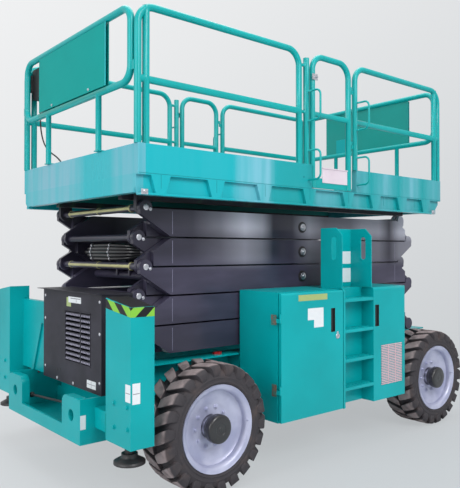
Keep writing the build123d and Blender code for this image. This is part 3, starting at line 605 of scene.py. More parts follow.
# %% Dress the CAD pieces
slot_of = {part["node"]: part["material_slot"] for part in frame["record"]["subparts"]}
finish_of_slot = {
    "teal_paint": teal, "deck_steel": deck, "axle_paint": axle_paint, "dark_cover": cover_paint,
    "black_steel": black_steel, "engine": casting, "tyre": cable_rubber, "rim_paint": zinc,
    "hub_black": plastic, "arm_paint": arm_paint, "rod_chrome": chrome, "control_plastic": plastic,
    "cable_rubber": cable_rubber}
rounding_of = {"ladder_left": 0.0025, "ladder_right": 0.0025, "chassis_frame": 0.003,
               "jack_housings_front": 0.004, "cabinet_left": 0.003, "cabinet_right": 0.003,
               "platform_frame": 0.003}
finish_of_node = {"platform_frame": boards, "side_rails": rail_paint, "end_rails": rail_paint,
                  "gate_left": rail_paint, "gate_right": rail_paint}
MERGE_WITHIN, USUAL_ROUNDING, CAD_CREASE = 0.00002, 0.002, 40
for name, node in nodes.items():
    finish = finish_of_node.get(name, finish_of_slot[slot_of[name]])
    node.data.materials.clear()
    node.data.materials.append(finish.material)
    joining = node.modifiers.new("join_points", "WELD")
    joining.merge_threshold = MERGE_WITHIN
    if "arms" in name or name in rounding_of:
        rounded(node, rounding_of.get(name, USUAL_ROUNDING), CAD_CREASE)
print("dressed", len(nodes), "CAD pieces")

# %% [markdown]
# ## Tyres
#
# These are tractor-like tyres for mud: thick bars of rubber, the lugs, stand on a plain
# carcass in two rows that interlock at the middle. A real one is moulded in one go. Here the
# carcass is a turned ring, and one lug is swept from the middle, over the shoulder and down the
# sidewall; then it is repeated round the wheel, row against row, half a pitch apart.

# %% Rubber
rubber = Finish("tyre_rubber")
forwards = rubber.axis("X")
upwards = rubber.axis("Z")
radius = (forwards * forwards + upwards * upwards) ** 0.5
worn = radius.above(0.408, 0.4165) * (0.45 + 0.55 * rubber.noise(14, detail=4).above(0.3, 0.6))
dust = rubber.noise(9, detail=5).above(0.5, 0.75) * 0.6
body = rubber.blend(dust, (52, 48, 52), (92, 76, 72))
rubber.colour(worn, body, (146, 132, 132))
rubber.set("Roughness", 0.62 + 0.25 * rubber.noise(60, detail=3))
rubber.bump(rubber.noise(220, detail=3) + 0.6 * rubber.noise(38, detail=2), 0.0016, 0.5)

# %% Tyre mesh
WHEELS = {f"{end}_{side}": (x, y, 0.41893) for end, x in (("front", -1.235), ("rear", 1.299))
          for side, y in (("left", -0.978), ("right", 0.978))}
LUGS = 22
LUG_LEAN = tan(radians(24))
LUG_MIDDLE, MEAN_RADIUS, FOOT_FLARE = 0.08, 0.40, 0.006
# distance from the middle, radius of the top, distance and radius of the foot, half width
LUG_STATIONS = (
    (0.006, 0.4176, 0.004, 0.387, 0.026), (0.030, 0.4186, 0.028, 0.387, 0.031),
    (0.060, 0.4189, 0.060, 0.386, 0.034), (0.095, 0.4187, 0.094, 0.384, 0.036),
    (0.124, 0.4172, 0.120, 0.380, 0.037), (0.141, 0.4100, 0.130, 0.374, 0.037),
    (0.1505, 0.3965, 0.136, 0.366, 0.036), (0.1545, 0.3780, 0.140, 0.356, 0.033),
    (0.1535, 0.3590, 0.143, 0.346, 0.028), (0.1500, 0.3420, 0.144, 0.336, 0.022))
CARCASS = (
    (0.3895, 0.0), (0.3890, 0.06), (0.3855, 0.100), (0.3785, 0.124), (0.3680, 0.1365),
    (0.3520, 0.1440), (0.3330, 0.1480), (0.3285, 0.1500), (0.3245, 0.1482), (0.3080, 0.1482),
    (0.3040, 0.1515), (0.2985, 0.1515), (0.2945, 0.1470), (0.2872, 0.1440), (0.2860, 0.1280))


def lug(piece, start, side):
    """One lug from the tyre's middle to its sidewall, as rings of four points."""
    rings = []
    for out, top, foot_out, foot, half in LUG_STATIONS:
        lean = start + LUG_LEAN * (out - LUG_MIDDLE) / MEAN_RADIUS
        ring = []
        for reach, away, width in ((top, out, half), (foot, foot_out, half + FOOT_FLARE)):
            for edge in ((-1, 1) if reach == top else (1, -1)):
                angle = lean + edge * width / MEAN_RADIUS
                ring.append((-reach * cos(angle), side * away, reach * sin(angle)))
        rings.append(ring)
    piece.rings(rings)


def make_tyre(name, centre):
    """The turned carcass with two rows of lugs."""
    piece = Piece("tread_" + name)
    mirrored = [(radius, -out) for radius, out in CARCASS[:0:-1]]
    piece.turned(mirrored + list(CARCASS), along=(0, 1, 0), sides=112, closed=True)
    for number in range(LUGS):
        for side, shift in ((-1, 0.0), (1, 0.5)):
            lug(piece, 2 * pi * (number + shift) / LUGS, side)
    piece.done(f"wheel_{name}", rubber, bevel=0.0035, stands_for=["tyre_" + name],
               place=centre)


for name, centre in WHEELS.items():
    make_tyre(name, centre)
print("tyres:", len(WHEELS), "with", 2 * LUGS, "lugs each")

# %% [markdown]
# ## Rims and hubs
#
# The rim is a rolled steel hoop with a pressed disc welded in. Its section is drawn from the
# hub outwards: flat where the nuts clamp it, dished, then up over the bead seat to the round
# lip. It wears a pale lilac-silver paint. The hub's drum carries the gear and a black cap.

# %% Wheel finishes
rim_paint = Finish("rim_paint", metallic=0.3, coat=0.3, coat_roughness=0.15)
streak = rim_paint.noise(6, detail=4, stretch=(1, 3, 1))
rim_paint.colour(streak.above(0.3, 0.72), (158, 161, 190), (190, 192, 214))
rim_paint.set("Roughness", 0.34 + 0.16 * rim_paint.noise(18))
rim_paint.bump(rim_paint.noise(90, detail=2), 0.0006, 0.4)

hub_black = cloudy("hub_black", (14, 14, 16), (30, 29, 32), 18, 3, rough=(0.28, 0.2, 30), coat=0.5)

drum_steel = Finish("hub_drum_steel", metallic=0.7)
ringing = drum_steel.wave(drum_steel.axis("Y") * 900)
drum_steel.colour(drum_steel.noise(9, detail=4).above(0.35, 0.65), (74, 74, 84), (188, 188, 202))
drum_steel.set("Roughness", 0.34 + 0.06 * ringing)

# %% Rim and hub meshes
RIM = (
    (0.0806, 0.062), (0.1350, 0.062), (0.1500, 0.0645), (0.1780, 0.0765), (0.2050, 0.0790),
    (0.2280, 0.0840), (0.2405, 0.0940), (0.2430, 0.1180), (0.2500, 0.1320), (0.2620, 0.1400),
    (0.2740, 0.1425), (0.2790, 0.1455), (0.2835, 0.1475), (0.2850, 0.1440), (0.2850, 0.1365),
    (0.2620, 0.1350), (0.2620, 0.1080), (0.2560, 0.0880), (0.2550, -0.0880), (0.2620, -0.1080),
    (0.2620, -0.1350), (0.2850, -0.1365), (0.2850, -0.1460), (0.2770, -0.1480), (0.2430, -0.1180),
    (0.2430, 0.0400), (0.0806, 0.0440))
VALVE = ((0.004, 0.130), (0.004, 0.165))
DRUM = ((0.078, 0.030), (0.078, 0.080), (0.080, 0.082), (0.080, 0.108), (0.076, 0.119))
HUB = ((0.060, -0.140), (0.060, 0.030), (0.088, 0.112), (0.0935, 0.119), (0.0945, 0.126),
       (0.0945, 0.150), (0.0925, 0.160), (0.086, 0.1665), (0.074, 0.1695), (0.040, 0.1695),
       (0.038, 0.1680), (0.016, 0.1680), (0.014, 0.1695))
STUD_CIRCLE, STUDS, CAP_CIRCLE, CAP_SCREWS = 0.128, 10, 0.060, 6


def around(radius, out, number, count):
    """One of the places round the wheel's axis."""
    angle = 2 * pi * number / count
    return Vector((radius * cos(angle), out, radius * sin(angle)))


for name, centre in WHEELS.items():
    body, side = f"wheel_{name}", (-1 if centre[1] < 0 else 1)
    rim = Piece("rim_detail_" + name)
    rim.turned(RIM, along=(0, side, 0), sides=96, closed=True)
    rim.turned(VALVE, (0.222, 0, 0), (0.12, side, 0.1), 10)
    rim.done(body, rim_paint, bevel=0, stands_for=["rim_" + name], place=centre)
    studs = Piece("rim_studs_" + name)
    for number in range(STUDS):
        place = around(STUD_CIRCLE, side * 0.062, number, STUDS)
        studs.bolt(place, (0, side, 0), 0.022)
        studs.bar(place, place + Vector((0, side * 0.019, 0)), 0.0065, 10)
    studs.done(body, rim_paint, bevel=0.0006, place=centre)
    drum = Piece("hub_drum_" + name)
    drum.turned(DRUM, along=(0, side, 0), sides=64)
    drum.done(body, drum_steel, bevel=0, place=centre)
    hub = Piece("hub_cap_" + name)
    hub.turned(HUB, along=(0, side, 0), sides=64)
    for number in range(CAP_SCREWS):
        place = around(CAP_CIRCLE, side * 0.1660, number, CAP_SCREWS)
        hub.turned(((0.007, 0), (0.007, 0.0038)), place, (0, side, 0), 6)
    hub.done(body, hub_black, bevel=0.0008, stands_for=["hub_" + name], place=centre)

# %% [markdown]
# ## Hazard tape, labels and screws
#
# Safety tape with slanted black and yellow-green bars is wrapped round the top of the left jack
# housing. The tape is a thin sheet here, and its bars come from a sine of width minus height,
# cut near zero, so they run on round the corner. All labels are left blank.

# %% Hazard tape
tape = Finish("hazard_tape", coat=0.2, specular=0.3)
slant = tape.axis("X") + tape.axis("Y") - 1.1 * tape.axis("Z")
bars = tape.wave((slant + 0.02) * (2 * pi / 0.148)).above(-0.08, 0.08)
tape.colour(bars, (14, 12, 20), (128, 190, 60))
tape.set("Roughness", 0.4 + 0.15 * tape.noise(60))

HOUSING_X, HOUSING_LEFT, HOUSING_RIGHT = (-1.874, -1.710), -1.100, -0.804
TAPE_PROUD, TAPE_SIDE, TAPE_INNER = 0.0008, (1.176, 1.2335), (1.212, 1.268)
CAP_INSET, CAP_Z, CAP_THICK = 0.004, (1.2346, 1.2754), 0.003
front, left = HOUSING_X[0] - TAPE_PROUD, HOUSING_LEFT - TAPE_PROUD
band = Piece("hazard_band")
band.plate([(front, left, TAPE_SIDE[0]), (front, HOUSING_RIGHT, TAPE_INNER[0]),
            (front, HOUSING_RIGHT, TAPE_INNER[1]), (front, left, TAPE_SIDE[1])], (0.001, 0, 0))
band.box((HOUSING_X[0], left, TAPE_SIDE[0]), (HOUSING_X[1], HOUSING_LEFT + 0.0004, TAPE_SIDE[1]))
band.done("chassis", tape, bevel=0)
cap = Piece("housing_cap")
x0, x1 = HOUSING_X[0] + CAP_INSET, HOUSING_X[1] - CAP_INSET
y = HOUSING_LEFT + CAP_INSET
cap.plate([(x0, y, CAP_Z[0]), (x0, HOUSING_RIGHT, CAP_Z[1]), (x1, HOUSING_RIGHT, CAP_Z[1]),
           (x1, y, CAP_Z[0])], (0, 0, CAP_THICK))
cap.done("chassis", plastic)

# %% [markdown]
# ## The cooler cover
#
# The dark sheet cover at the steered end lets air through a louvred window. Each louvre is a
# row of short grey fins, in a narrow and a wide column.

# %% Louvres, window and screws
fin_paint = cloudy("louvre_fins", (122, 120, 138), (160, 158, 176), 40, 3, rough=(0.4, 0.15, 70),
                   metallic=0.3, specular=0.4)
WINDOW_LOW, LOUVRE_PITCH, LOUVRES, COVER_FACE = 0.790, 0.035, 10, -1.800
FIN_GAP, FIN_UP, FIN_DOWN = 0.0034, 0.0085, 0.0095
FIN_COLUMNS = ((-0.450, -0.3174, 6), (-0.3014, -0.080, 10))
back, front = COVER_FACE + 0.0035, COVER_FACE - 0.0015
fins = Piece("louvre_fins")
for row in range(LOUVRES):
    middle = WINDOW_LOW + (row + 0.5) * LOUVRE_PITCH
    high, low = middle + FIN_UP, middle - FIN_DOWN
    for start, end, count in FIN_COLUMNS:
        pitch = (end - start) / count
        for number in range(count):
            left = start + number * pitch + FIN_GAP
            right = start + (number + 1) * pitch - FIN_GAP
            fins.plate([(back, left, high), (back, right, high), (front, right, low), (front, left, low)],
                       (0.0015, 0, 0.0004))
fins.done("chassis", fin_paint, bevel=0.0004)

window = Piece("window_frame")
for low, high in (((-0.458, 0.786), (-0.450, 1.144)), ((-0.080, 0.786), (-0.072, 1.144)),
                  ((-0.458, 0.782), (-0.072, 0.790)), ((-0.458, 1.140), (-0.072, 1.148))):
    window.box((COVER_FACE - 0.002, *low), (COVER_FACE + 0.001, *high))
window.done("chassis", cover_paint, bevel=0.0008)


def round_heads(name, places, view, finish, bevel):
    """Round heads on the cover's face, as screws or plugs."""
    piece = Piece(name)
    for y, z in places:
        piece.turned(view, (COVER_FACE, y, z), (-1, 0, 0), 16)
    piece.done("chassis", finish, bevel)


round_heads("cover_screws", ((-0.585, 1.020), (-0.585, 0.700), (-0.585, 1.230), (0.268, 1.060),
                             (0.268, 0.700), (0.268, 1.230), (-0.20, 0.640), (0.06, 0.640)),
            ((0.011, 0), (0.011, 0.0015), (0.007, 0.004)), zinc, 0.0005)
round_heads("cover_plugs", ((-0.045, 1.130), (-0.045, 1.040), (-0.045, 0.980), (0.06, 0.70),
                            (0.01, 0.705)), ((0.009, 0), (0.009, 0.001), (0.006, 0.0016)), plastic, 0)

# %% Front labels
def labels(name, body, finish, boxes):
    """Thin blank labels, each given by its two corners."""
    piece = Piece(name)
    for low, high in boxes:
        piece.box(low, high)
    piece.done(body, finish, 0)


labels("front_labels_yellow", "chassis", label_yellow, [
        ((-1.8006, -0.165, 1.172), (-1.799, -0.095, 1.236))])
labels("front_labels_white", "chassis", label_white, [
        ((-1.8010, -0.319, 1.201), (-1.799, -0.125, 1.243)),
        ((-1.8008, -0.535, 0.647), (-1.799, -0.409, 0.699)),
        ((-1.8748, -1.098, 0.679), (-1.873, -1.041, 0.782)),
        ((-1.862, -1.1008, 0.668), (-1.809, -1.099, 0.790)),
        ((-1.948, -0.6108, 0.429), (-1.910, -0.609, 0.519))])
ink = cloudy("grey_ink", (92, 88, 104), (128, 124, 136), 90, rough=(0.5, 0.1, 40))
labels("label_frames", "chassis", ink, [
        ((-1.8013, -0.310, 1.229), (-1.8009, -0.160, 1.234)),
        ((-1.8013, -0.250, 1.206), (-1.8009, -0.246, 1.229)),
        ((-1.8011, -0.529, 0.672), (-1.8007, -0.415, 0.675)),
        ((-1.8011, -0.473, 0.650), (-1.8007, -0.470, 0.697)),
        ((-1.8751, -1.094, 0.729), (-1.8747, -1.045, 0.733)),
        ((-1.858, -1.1011, 0.727), (-1.813, -1.1007, 0.731))])

# %% [markdown]
# ## Fasteners and hoses of the steered end
#
# Bolts hold the jack cylinders inside their housings. Hydraulic pipes in red and black sleeves
# are clamped between the far housing and the cover, and the pump's lever ends in a ball.

# %% Bolts and hoses
NEAR_BOLTS = ((-0.904, 0.648), (-0.904, 0.501), (-1.059, 0.648), (-1.060, 0.517))
FAR_BOLTS = ((0.904, 0.52), (0.904, 0.66), (1.059, 0.52), (1.059, 0.66))
bolts = Piece("front_bolts")
for y, z in NEAR_BOLTS + FAR_BOLTS:
    bolts.bolt((HOUSING_X[0], y, z), (-1, 0, 0), 0.022)
bolts.done("chassis", teal, bevel=0.0006)

hose_red = cloudy("hose_red", (110, 42, 56), (158, 70, 80), 60, 3, rough=(0.4, 0.2, 90), coat=0.2)
RED_HOSES = (
    (0.014, ((-1.69, 0.50, 0.75), (-1.71, 0.56, 0.74), (-1.73, 0.60, 0.66), (-1.72, 0.70, 0.60),
             (-1.70, 0.79, 0.56))),
    (0.012, ((-1.67, 0.46, 0.70), (-1.70, 0.53, 0.69), (-1.72, 0.57, 0.61), (-1.70, 0.66, 0.55),
             (-1.69, 0.79, 0.52))))
DARK_HOSE = ((-1.66, 0.44, 0.79), (-1.70, 0.50, 0.80), (-1.75, 0.58, 0.72), (-1.74, 0.66, 0.60),
             (-1.70, 0.79, 0.60))
UNIONS, UNION_Y, UNION_RADIUS = ((-1.70, 0.56), (-1.69, 0.52), (-1.70, 0.60)), (0.775, 0.803), 0.019
red = Piece("hoses_red")
for thick, route in RED_HOSES:
    red.pipe(route, thick)
red.done("chassis", hose_red, bevel=0)
dark = Piece("hoses_dark")
dark.pipe(DARK_HOSE, 0.013)
for x, z in UNIONS:
    dark.bar((x, UNION_Y[0], z), (x, UNION_Y[1], z), UNION_RADIUS)
dark.done("chassis", cable_rubber, bevel=0)

ball = Piece("pump_details")
ball.turned(((0.004, -0.0215), (0.014, -0.018), (0.0205, -0.008), (0.022, 0.003), (0.0185, 0.013),
             (0.010, 0.021)), (-1.850, 0.400, 0.4623), (0, 1, -0.14), 24)
ball.bolt((-1.850, -0.280, 0.536), (0, 0, 1), 0.026)
ball.done("chassis", hub_black, bevel=0.0005)

# %% [markdown]
# ## Cabinets
#
# The cabinets hold the engine on one side and the controls on the other. Their sheet doors get
# what a hand meets: a grip slot and a lock. Each grip slot holds a black box, painted shade for the
# dark inside of the slot. The closed bay has a vent of short pale fins in three columns, and the
# ladder's steps have raised buttons against slipping.

# %% Grips, locks and vents
FACE, SIDES = -1.120, (("left", False), ("right", True))
GRIP_DEPTH, GRIP_LIP, GRIP_WALL = 0.0135, 0.0015, 0.003
LOCK = ((0.021, 0), (0.021, 0.004), (0.017, 0.009), (0.009, 0.0095), (0.009, 0.006))
fin_white = cloudy("vent_fins", (190, 150, 162), (226, 208, 214), 60, 3, rough=(0.45, 0.15, 70),
                   specular=0.3)


def slot_shade_insert(name, body, flipped, x0, x1, z0, z1):
    """A black box with a floor and four walls in a slot of a side's face, as painted shade for the slot's
    dark inside.
    """
    piece = Piece(name)
    back, lip, wall = FACE + GRIP_DEPTH, FACE - GRIP_LIP, GRIP_WALL
    piece.box((x0, back - 0.002, z0), (x1, back, z1))
    for low, high in (((x0, z0), (x0 + wall, z1)), ((x1 - wall, z0), (x1, z1)),
                      ((x0, z0), (x1, z0 + wall)), ((x0, z1 - wall), (x1, z1))):
        piece.box((low[0], lip, low[1]), (high[0], back, high[1]))
    piece.done(body, plastic, bevel=0.0006, flipped=flipped)


for side, flipped in SIDES:
    # the black inserts in the grip slots are painted shade
    slot_shade_insert("door_grip_" + side, "door_" + side, flipped, -0.140, -0.094, 0.950, 1.130)
    lock = Piece("door_lock_" + side)
    lock.turned(LOCK, (-0.066, FACE, 0.914), (0, -1, 0), 28)
    lock.box((-0.0675, FACE - 0.0075, 0.908), (-0.0645, FACE - 0.0055, 0.920))
    lock.plate([(x, FACE - 0.001, z) for x, z in ((-0.078, 0.925), (-0.054, 0.925), (-0.058, 0.950),
                                                  (-0.074, 0.950))], (0, -0.003, 0))
    lock.done("door_" + side, zinc, bevel=0.0006, flipped=flipped)
    slot_shade_insert("cabinet_grip_" + side, "chassis", flipped, 0.402, 0.452, 0.950, 1.125)

VENT_X, VENT_Z, VENT_ROWS, VENT_COLUMNS = (0.480, 0.775), (0.460, 0.790), 24, 3
vent = Piece("vent_fins")
wide, tall = (VENT_X[1] - VENT_X[0]) / VENT_COLUMNS, (VENT_Z[1] - VENT_Z[0]) / VENT_ROWS
back, front = FACE + 0.0018, FACE - 0.0010
for column in range(VENT_COLUMNS):
    x = VENT_X[0] + column * wide
    left, right = x + 0.005, x + wide - 0.005
    for row in range(VENT_ROWS):
        z = VENT_Z[0] + row * tall
        high, low = z + 0.011, z + 0.004
        vent.plate([(left, back, high), (right, back, high), (right, front, low), (left, front, low)],
                   (0, 0.001, 0.0006))
    if column:
        vent.box((x - 0.004, FACE - 0.0012, VENT_Z[0]), (x + 0.004, FACE + 0.001, VENT_Z[1]))
vent.both_sides()
vent.done("chassis", fin_white, bevel=0)

# %% Steps and hinges
STEP_HEIGHTS, BUTTON_ROWS, BUTTONS = (0.500, 0.720, 0.950, 1.190), 2, 9
BUTTON_START, BUTTON_PITCH, ROW_START, ROW_PITCH = 0.050, 0.0385, FACE + 0.022, 0.036
buttons = Piece("step_buttons")
for z in STEP_HEIGHTS:
    for row in range(BUTTON_ROWS):
        for number in range(BUTTONS):
            place = (BUTTON_START + BUTTON_PITCH * (number + 0.5 * row), ROW_START + ROW_PITCH * row, z)
            buttons.turned(((0.009, 0), (0.007, 0.003), (0.004, 0.0034)), place, (0, 0, 1), 10)
buttons.both_sides()
buttons.done("chassis", teal, bevel=0)

primer = cloudy("rust_primer", (66, 120, 112), (120, 96, 84), 28, 4, steps=(0.35, 0.65),
                rough=(0.55, 0.2, 50), specular=0.3)
LEAF_X, LEAF_PROUD, LEAF_SCREW = -0.6850, 0.0012, 0.016
LEAVES = (((-1.086, -1.034), (1.040, 1.112)), ((-1.088, -1.042), (0.535, 0.620)))
leaves = Piece("hinge_leaves")
for (y0, y1), (z0, z1) in LEAVES:
    leaves.box((LEAF_X - LEAF_PROUD, y0, z0), (LEAF_X + 0.0005, y1, z1))
    for z in (z0 + LEAF_SCREW, z1 - LEAF_SCREW):
        leaves.turned(((0.007, 0), (0.007, 0.0015), (0.004, 0.003)),
                      (LEAF_X - LEAF_PROUD, (y0 + y1) / 2, z), (-1, 0, 0), 12)
leaves.both_sides()
leaves.done("chassis", primer, bevel=0.0005)

labels("door_label_yellow", "door_left", label_yellow, [
        ((-0.494, FACE - 0.0008, 1.200), (-0.182, FACE + 0.001, 1.2445))])
labels("door_labels", "door_left", label_white, [
        ((-0.396, FACE - 0.0008, 1.056), (-0.226, FACE + 0.001, 1.142)),
        ((-0.329, FACE - 0.0008, 0.998), (-0.226, FACE + 0.001, 1.056))])
labels("guard_labels", "chassis", label_white, [
        ((0.235, -0.9088, 1.458), (0.352, -0.907, 1.560)),
        ((0.235, -0.9088, 1.306), (0.352, -0.907, 1.422))])

# %% [markdown]
# ## Weld beads
#
# Where two sheets meet, a welder leaves a small bead. The beads of the guards, the steps and the
# jack housings are thin round bars half sunk in the joint, rippled by a fine sine in the bump.

# %% Welds
weld = cloudy("painted_weld", (0, 150, 147), (0, 166, 163), 40, rough=(0.4, 0.1, 80), coat=0.1,
              specular=0.3)
weld.bump(weld.wave((weld.axis("X") + weld.axis("Y") + weld.axis("Z")) * 1400), 0.0012, 0.8)
GUARD_FOOT, STEP_BACK = 1.2715, -1.003
BEADS = (
    ((-0.010, -0.905, GUARD_FOOT), (0.360, -0.905, GUARD_FOOT)),
    ((-0.004, -1.118, GUARD_FOOT), (-0.004, -0.905, GUARD_FOOT)),
    ((0.354, -1.118, GUARD_FOOT), (0.354, -0.905, GUARD_FOOT)),
    ((-1.874, -0.804, 0.430), (-1.874, -0.804, 0.560)),
    ((-1.847, -0.8035, 0.431), (-1.847, -0.8035, 0.559)),
    ((-1.737, -0.8035, 0.431), (-1.737, -0.8035, 0.559)),
    ((-1.847, -0.8035, 0.5605), (-1.737, -0.8035, 0.5605)))
beads = Piece("weld_beads")
for start, end in BEADS:
    beads.bar(start, end, 0.0035, 8)
for z in STEP_HEIGHTS:
    beads.bar((0.037, STEP_BACK, z - 0.025), (0.380, STEP_BACK, z - 0.025), 0.003, 8)
beads.both_sides()
beads.done("chassis", weld, bevel=0)

# %% [markdown]
# ## The scissor stack
#
# Each level's arms cross at a middle pin and meet the next level's at end pins. A small bolt
# keeps a pin from turning, and a zinc cap covers its end. Two of the bars that join the left
# and the right arms carry a pale rod in three collars.

# %% Middle pins and rods
LEFT_PIN, MIDDLE_PIN = -1.490, 0.035
OUTER_FACE, INNER_FACE, HEAD_FACE = 0.655, 0.565, 0.666
JOINT_START, JOINT_PITCH = 0.847, 0.203
SPACER_RADIUS, SPACER_HALF, SPACER_AHEAD = 0.0115, 0.478, 0.0190


def joint_z(level):
    """The height of the joint on top of a level, and of the stack's foot for level 0."""
    return JOINT_START + JOINT_PITCH * level


spacer_paint = cloudy("spacer_khaki", (160, 158, 112), (196, 192, 142), 18, 4, roughness=0.42,
                      coat=0.1, specular=0.3)
CAP = ((0.0290, 0), (0.0290, 0.0030), (0.0250, 0.0045), (0.0080, 0.0045), (0.0080, 0.0030))
RING = ((0.0315, 0), (0.046, 0), (0.046, 0.004), (0.0315, 0.006))
COLLAR = ((0.0255, -0.005), (0.0285, -0.005), (0.0285, 0.005), (0.0255, 0.005))
END_CAP = ((0.0215, 0), (0.0215, 0.0022), (0.019, 0.0032), (0.0060, 0.0032), (0.0060, 0.0015))
for level in (3, 5):
    spacer = Piece(f"spacer_{level}")
    x = LEFT_PIN - SPACER_AHEAD
    spacer.bar((x, -SPACER_HALF, joint_z(level)), (x, SPACER_HALF, joint_z(level)), SPACER_RADIUS, 24)
    for y in (-SPACER_HALF + 0.01, 0, SPACER_HALF - 0.01):
        spacer.turned(COLLAR, (LEFT_PIN, y, joint_z(level)), (0, 1, 0), 28, closed=True)
    spacer.done(f"outer_{level}", spacer_paint, bevel=0.0008)

for level in range(1, 6):
    middle = joint_z(level) - JOINT_PITCH / 2
    caps = Piece(f"middle_caps_{level}")
    caps.turned(CAP, (MIDDLE_PIN, -HEAD_FACE, middle), (0, -1, 0), 32)
    caps.bolt((MIDDLE_PIN, -HEAD_FACE - 0.0042, middle), (0, -1, 0), 0.017)
    caps.both_sides()
    caps.done(f"inner_{level}", zinc, bevel=0.0005)
    rings = Piece(f"middle_rings_{level}")
    rings.turned(RING, (MIDDLE_PIN, -OUTER_FACE, middle), (0, -1, 0), 32, closed=True)
    rings.both_sides()
    rings.done(f"inner_{level}", black_steel, bevel=0.0006)

# %% [markdown]
# An end pin belongs to the arms of one level, and the next level turns on it, so each keeper
# rides with the arm that holds its pin. The seams are where two lengths of an outer arm's plate
# are welded together; their light colour is a painted highlight along the weld.

# %% End pins and seams
KEEPERS = {1: "outer_1", 2: "inner_2", 3: "outer_3", 4: "inner_4", 5: "outer_5"}
KEEPER_X, KEEPER_DROP = LEFT_PIN + 0.036 * cos(0.35), 0.036 * sin(0.35)
for level, body in KEEPERS.items():
    face = OUTER_FACE if body.startswith("outer") else INNER_FACE
    ends = Piece(f"end_pins_{level}")
    ends.turned(END_CAP, (LEFT_PIN, -face, joint_z(level)), (0, -1, 0), 28)
    ends.bolt((KEEPER_X, -face, joint_z(level) - KEEPER_DROP), (0, -1, 0), 0.014)
    ends.both_sides()
    ends.done(body, zinc, bevel=0.0004)

# painted highlight: the seams are a lighter copy of the arm coat
seam_highlight_paint = cloudy("arm_seam", (112, 110, 134), (146, 144, 168), 35, 3, roughness=0.35, coat=0.2)
SEAM_PLACES, SEAM_WIDE, SEAM_HALF_TALL = (-1.273, 1.330), 0.003, 0.080
for level in range(1, 6):
    middle = joint_z(level) - JOINT_PITCH / 2
    seams = Piece(f"arm_seams_{level}")
    for x in SEAM_PLACES:
        seams.box((x - SEAM_WIDE / 2, -OUTER_FACE - 0.0004, middle - SEAM_HALF_TALL),
                  (x + SEAM_WIDE / 2, -OUTER_FACE + 0.001, middle + SEAM_HALF_TALL))
    seams.both_sides()
    seams.done(f"outer_{level}", seam_highlight_paint, bevel=0)

# %% [markdown]
# ## Pipes in the stack
#
# Oil reaches the cylinder through steel pipes that are clamped to the fourth level's arms. They
# move with the arms, so they are rigid pipes here, not free hoses. A red valve sits on the frame.

# %% Pipes on the arms
glossy_pipe = cloudy("glossy_pipe", (12, 11, 14), (26, 24, 28), 30, rough=(0.28, 0.1, 60), coat=0.25,
                     coat_roughness=0.06)
PIPE_REACH, PIPE_RADIUS, PIPE_X, PIPE_BACK, PIPE_MIDDLE = 0.484, 0.0150, -1.466, 0.130, 1.556
PIPE_COUNT, PIPE_STEP, PIPE_STRAIGHT, PIPE_BEND = 5, 0.026, 0.330, 0.080
CLAMP_PLACES, CLAMP = (0.18, -0.10), ((PIPE_RADIUS + 0.0016, -0.006), (PIPE_RADIUS + 0.0016, 0.006))
pipes = Piece("arm_pipes")
clamps = Piece("pipe_clamps")
for number in range(PIPE_COUNT):
    off = (number - (PIPE_COUNT - 1) / 2) * PIPE_STEP
    x, z = PIPE_X + 0.25 * abs(off), PIPE_MIDDLE + off
    straight = PIPE_STRAIGHT - 1.2 * abs(off)
    back, gathered = x + PIPE_BACK, PIPE_MIDDLE + off / 2
    half = [(back, -PIPE_REACH, gathered), (back, -straight - PIPE_BEND, gathered), (x, -straight, z)]
    pipes.pipe(half + [(a, -b, c) for a, b, c in reversed(half)], PIPE_RADIUS, 14, 3)
    for y in CLAMP_PLACES:
        clamps.turned(CLAMP, (x, y, z), (0, 1, 0), 20)
pipes.done("inner_4", glossy_pipe, bevel=0)
clamps.done("inner_4", zinc, bevel=0.0006)

valve_red = cloudy("valve_red", (150, 26, 30), (186, 38, 40), 40, roughness=0.4, coat=0.2)
valve = Piece("red_valve")
valve.box((-0.862, -0.606, 0.772), (-0.790, -0.580, 0.808))
valve.turned(((0.010, 0), (0.010, 0.014), (0.016, 0.016), (0.016, 0.022)), (-0.826, -0.606, 0.790),
             (0, -1, 0), 20)
valve.done("chassis", valve_red, bevel=0.002)
print("the stack has caps, keepers, seams and pipes")

# %% [markdown]
# ## The platform's fittings
#
# The side boards meet the beams below along a seam. The gates have a pale kick panel and a
# latch, each end panel a folded edge and two bolts, and small brackets sit low on the beams. The
# rear panel also carries a small plate on its inner face.

# %% Board seams
BOARD_OUT, END_OUT = 0.915, 1.712
SEAM_Z, SEAM_TALL, SEAM_PROUD, SEAM_INSET = 2.0540, 0.0035, 0.0006, 0.004
JOINTS, JOINT_HALF, JOINT_Z = (-1.541, -1.085, -0.630, -0.150, 0.322, 0.800, 1.270), 0.0014, (1.962, 2.050)
seam_face, seam_back = -BOARD_OUT - SEAM_PROUD, -BOARD_OUT + 0.001
dark_gap = cloudy("dark_seam", (20, 120, 126), (30, 138, 144), 20, roughness=0.7, specular=0.2)
seams = Piece("board_seams")
seams.box((-END_OUT + SEAM_INSET, seam_face, SEAM_Z), (END_OUT - SEAM_INSET, seam_back, SEAM_Z + SEAM_TALL))
for x in JOINTS:
    seams.box((x - JOINT_HALF, seam_face, JOINT_Z[0]), (x + JOINT_HALF, seam_back, JOINT_Z[1]))
seams.turned(((0.0085, 0), (0.0085, 0.0006)), (-0.218, -BOARD_OUT, 2.140), (0, -1, 0), 20)
seams.both_sides()
seams.done("platform", dark_gap, bevel=0)

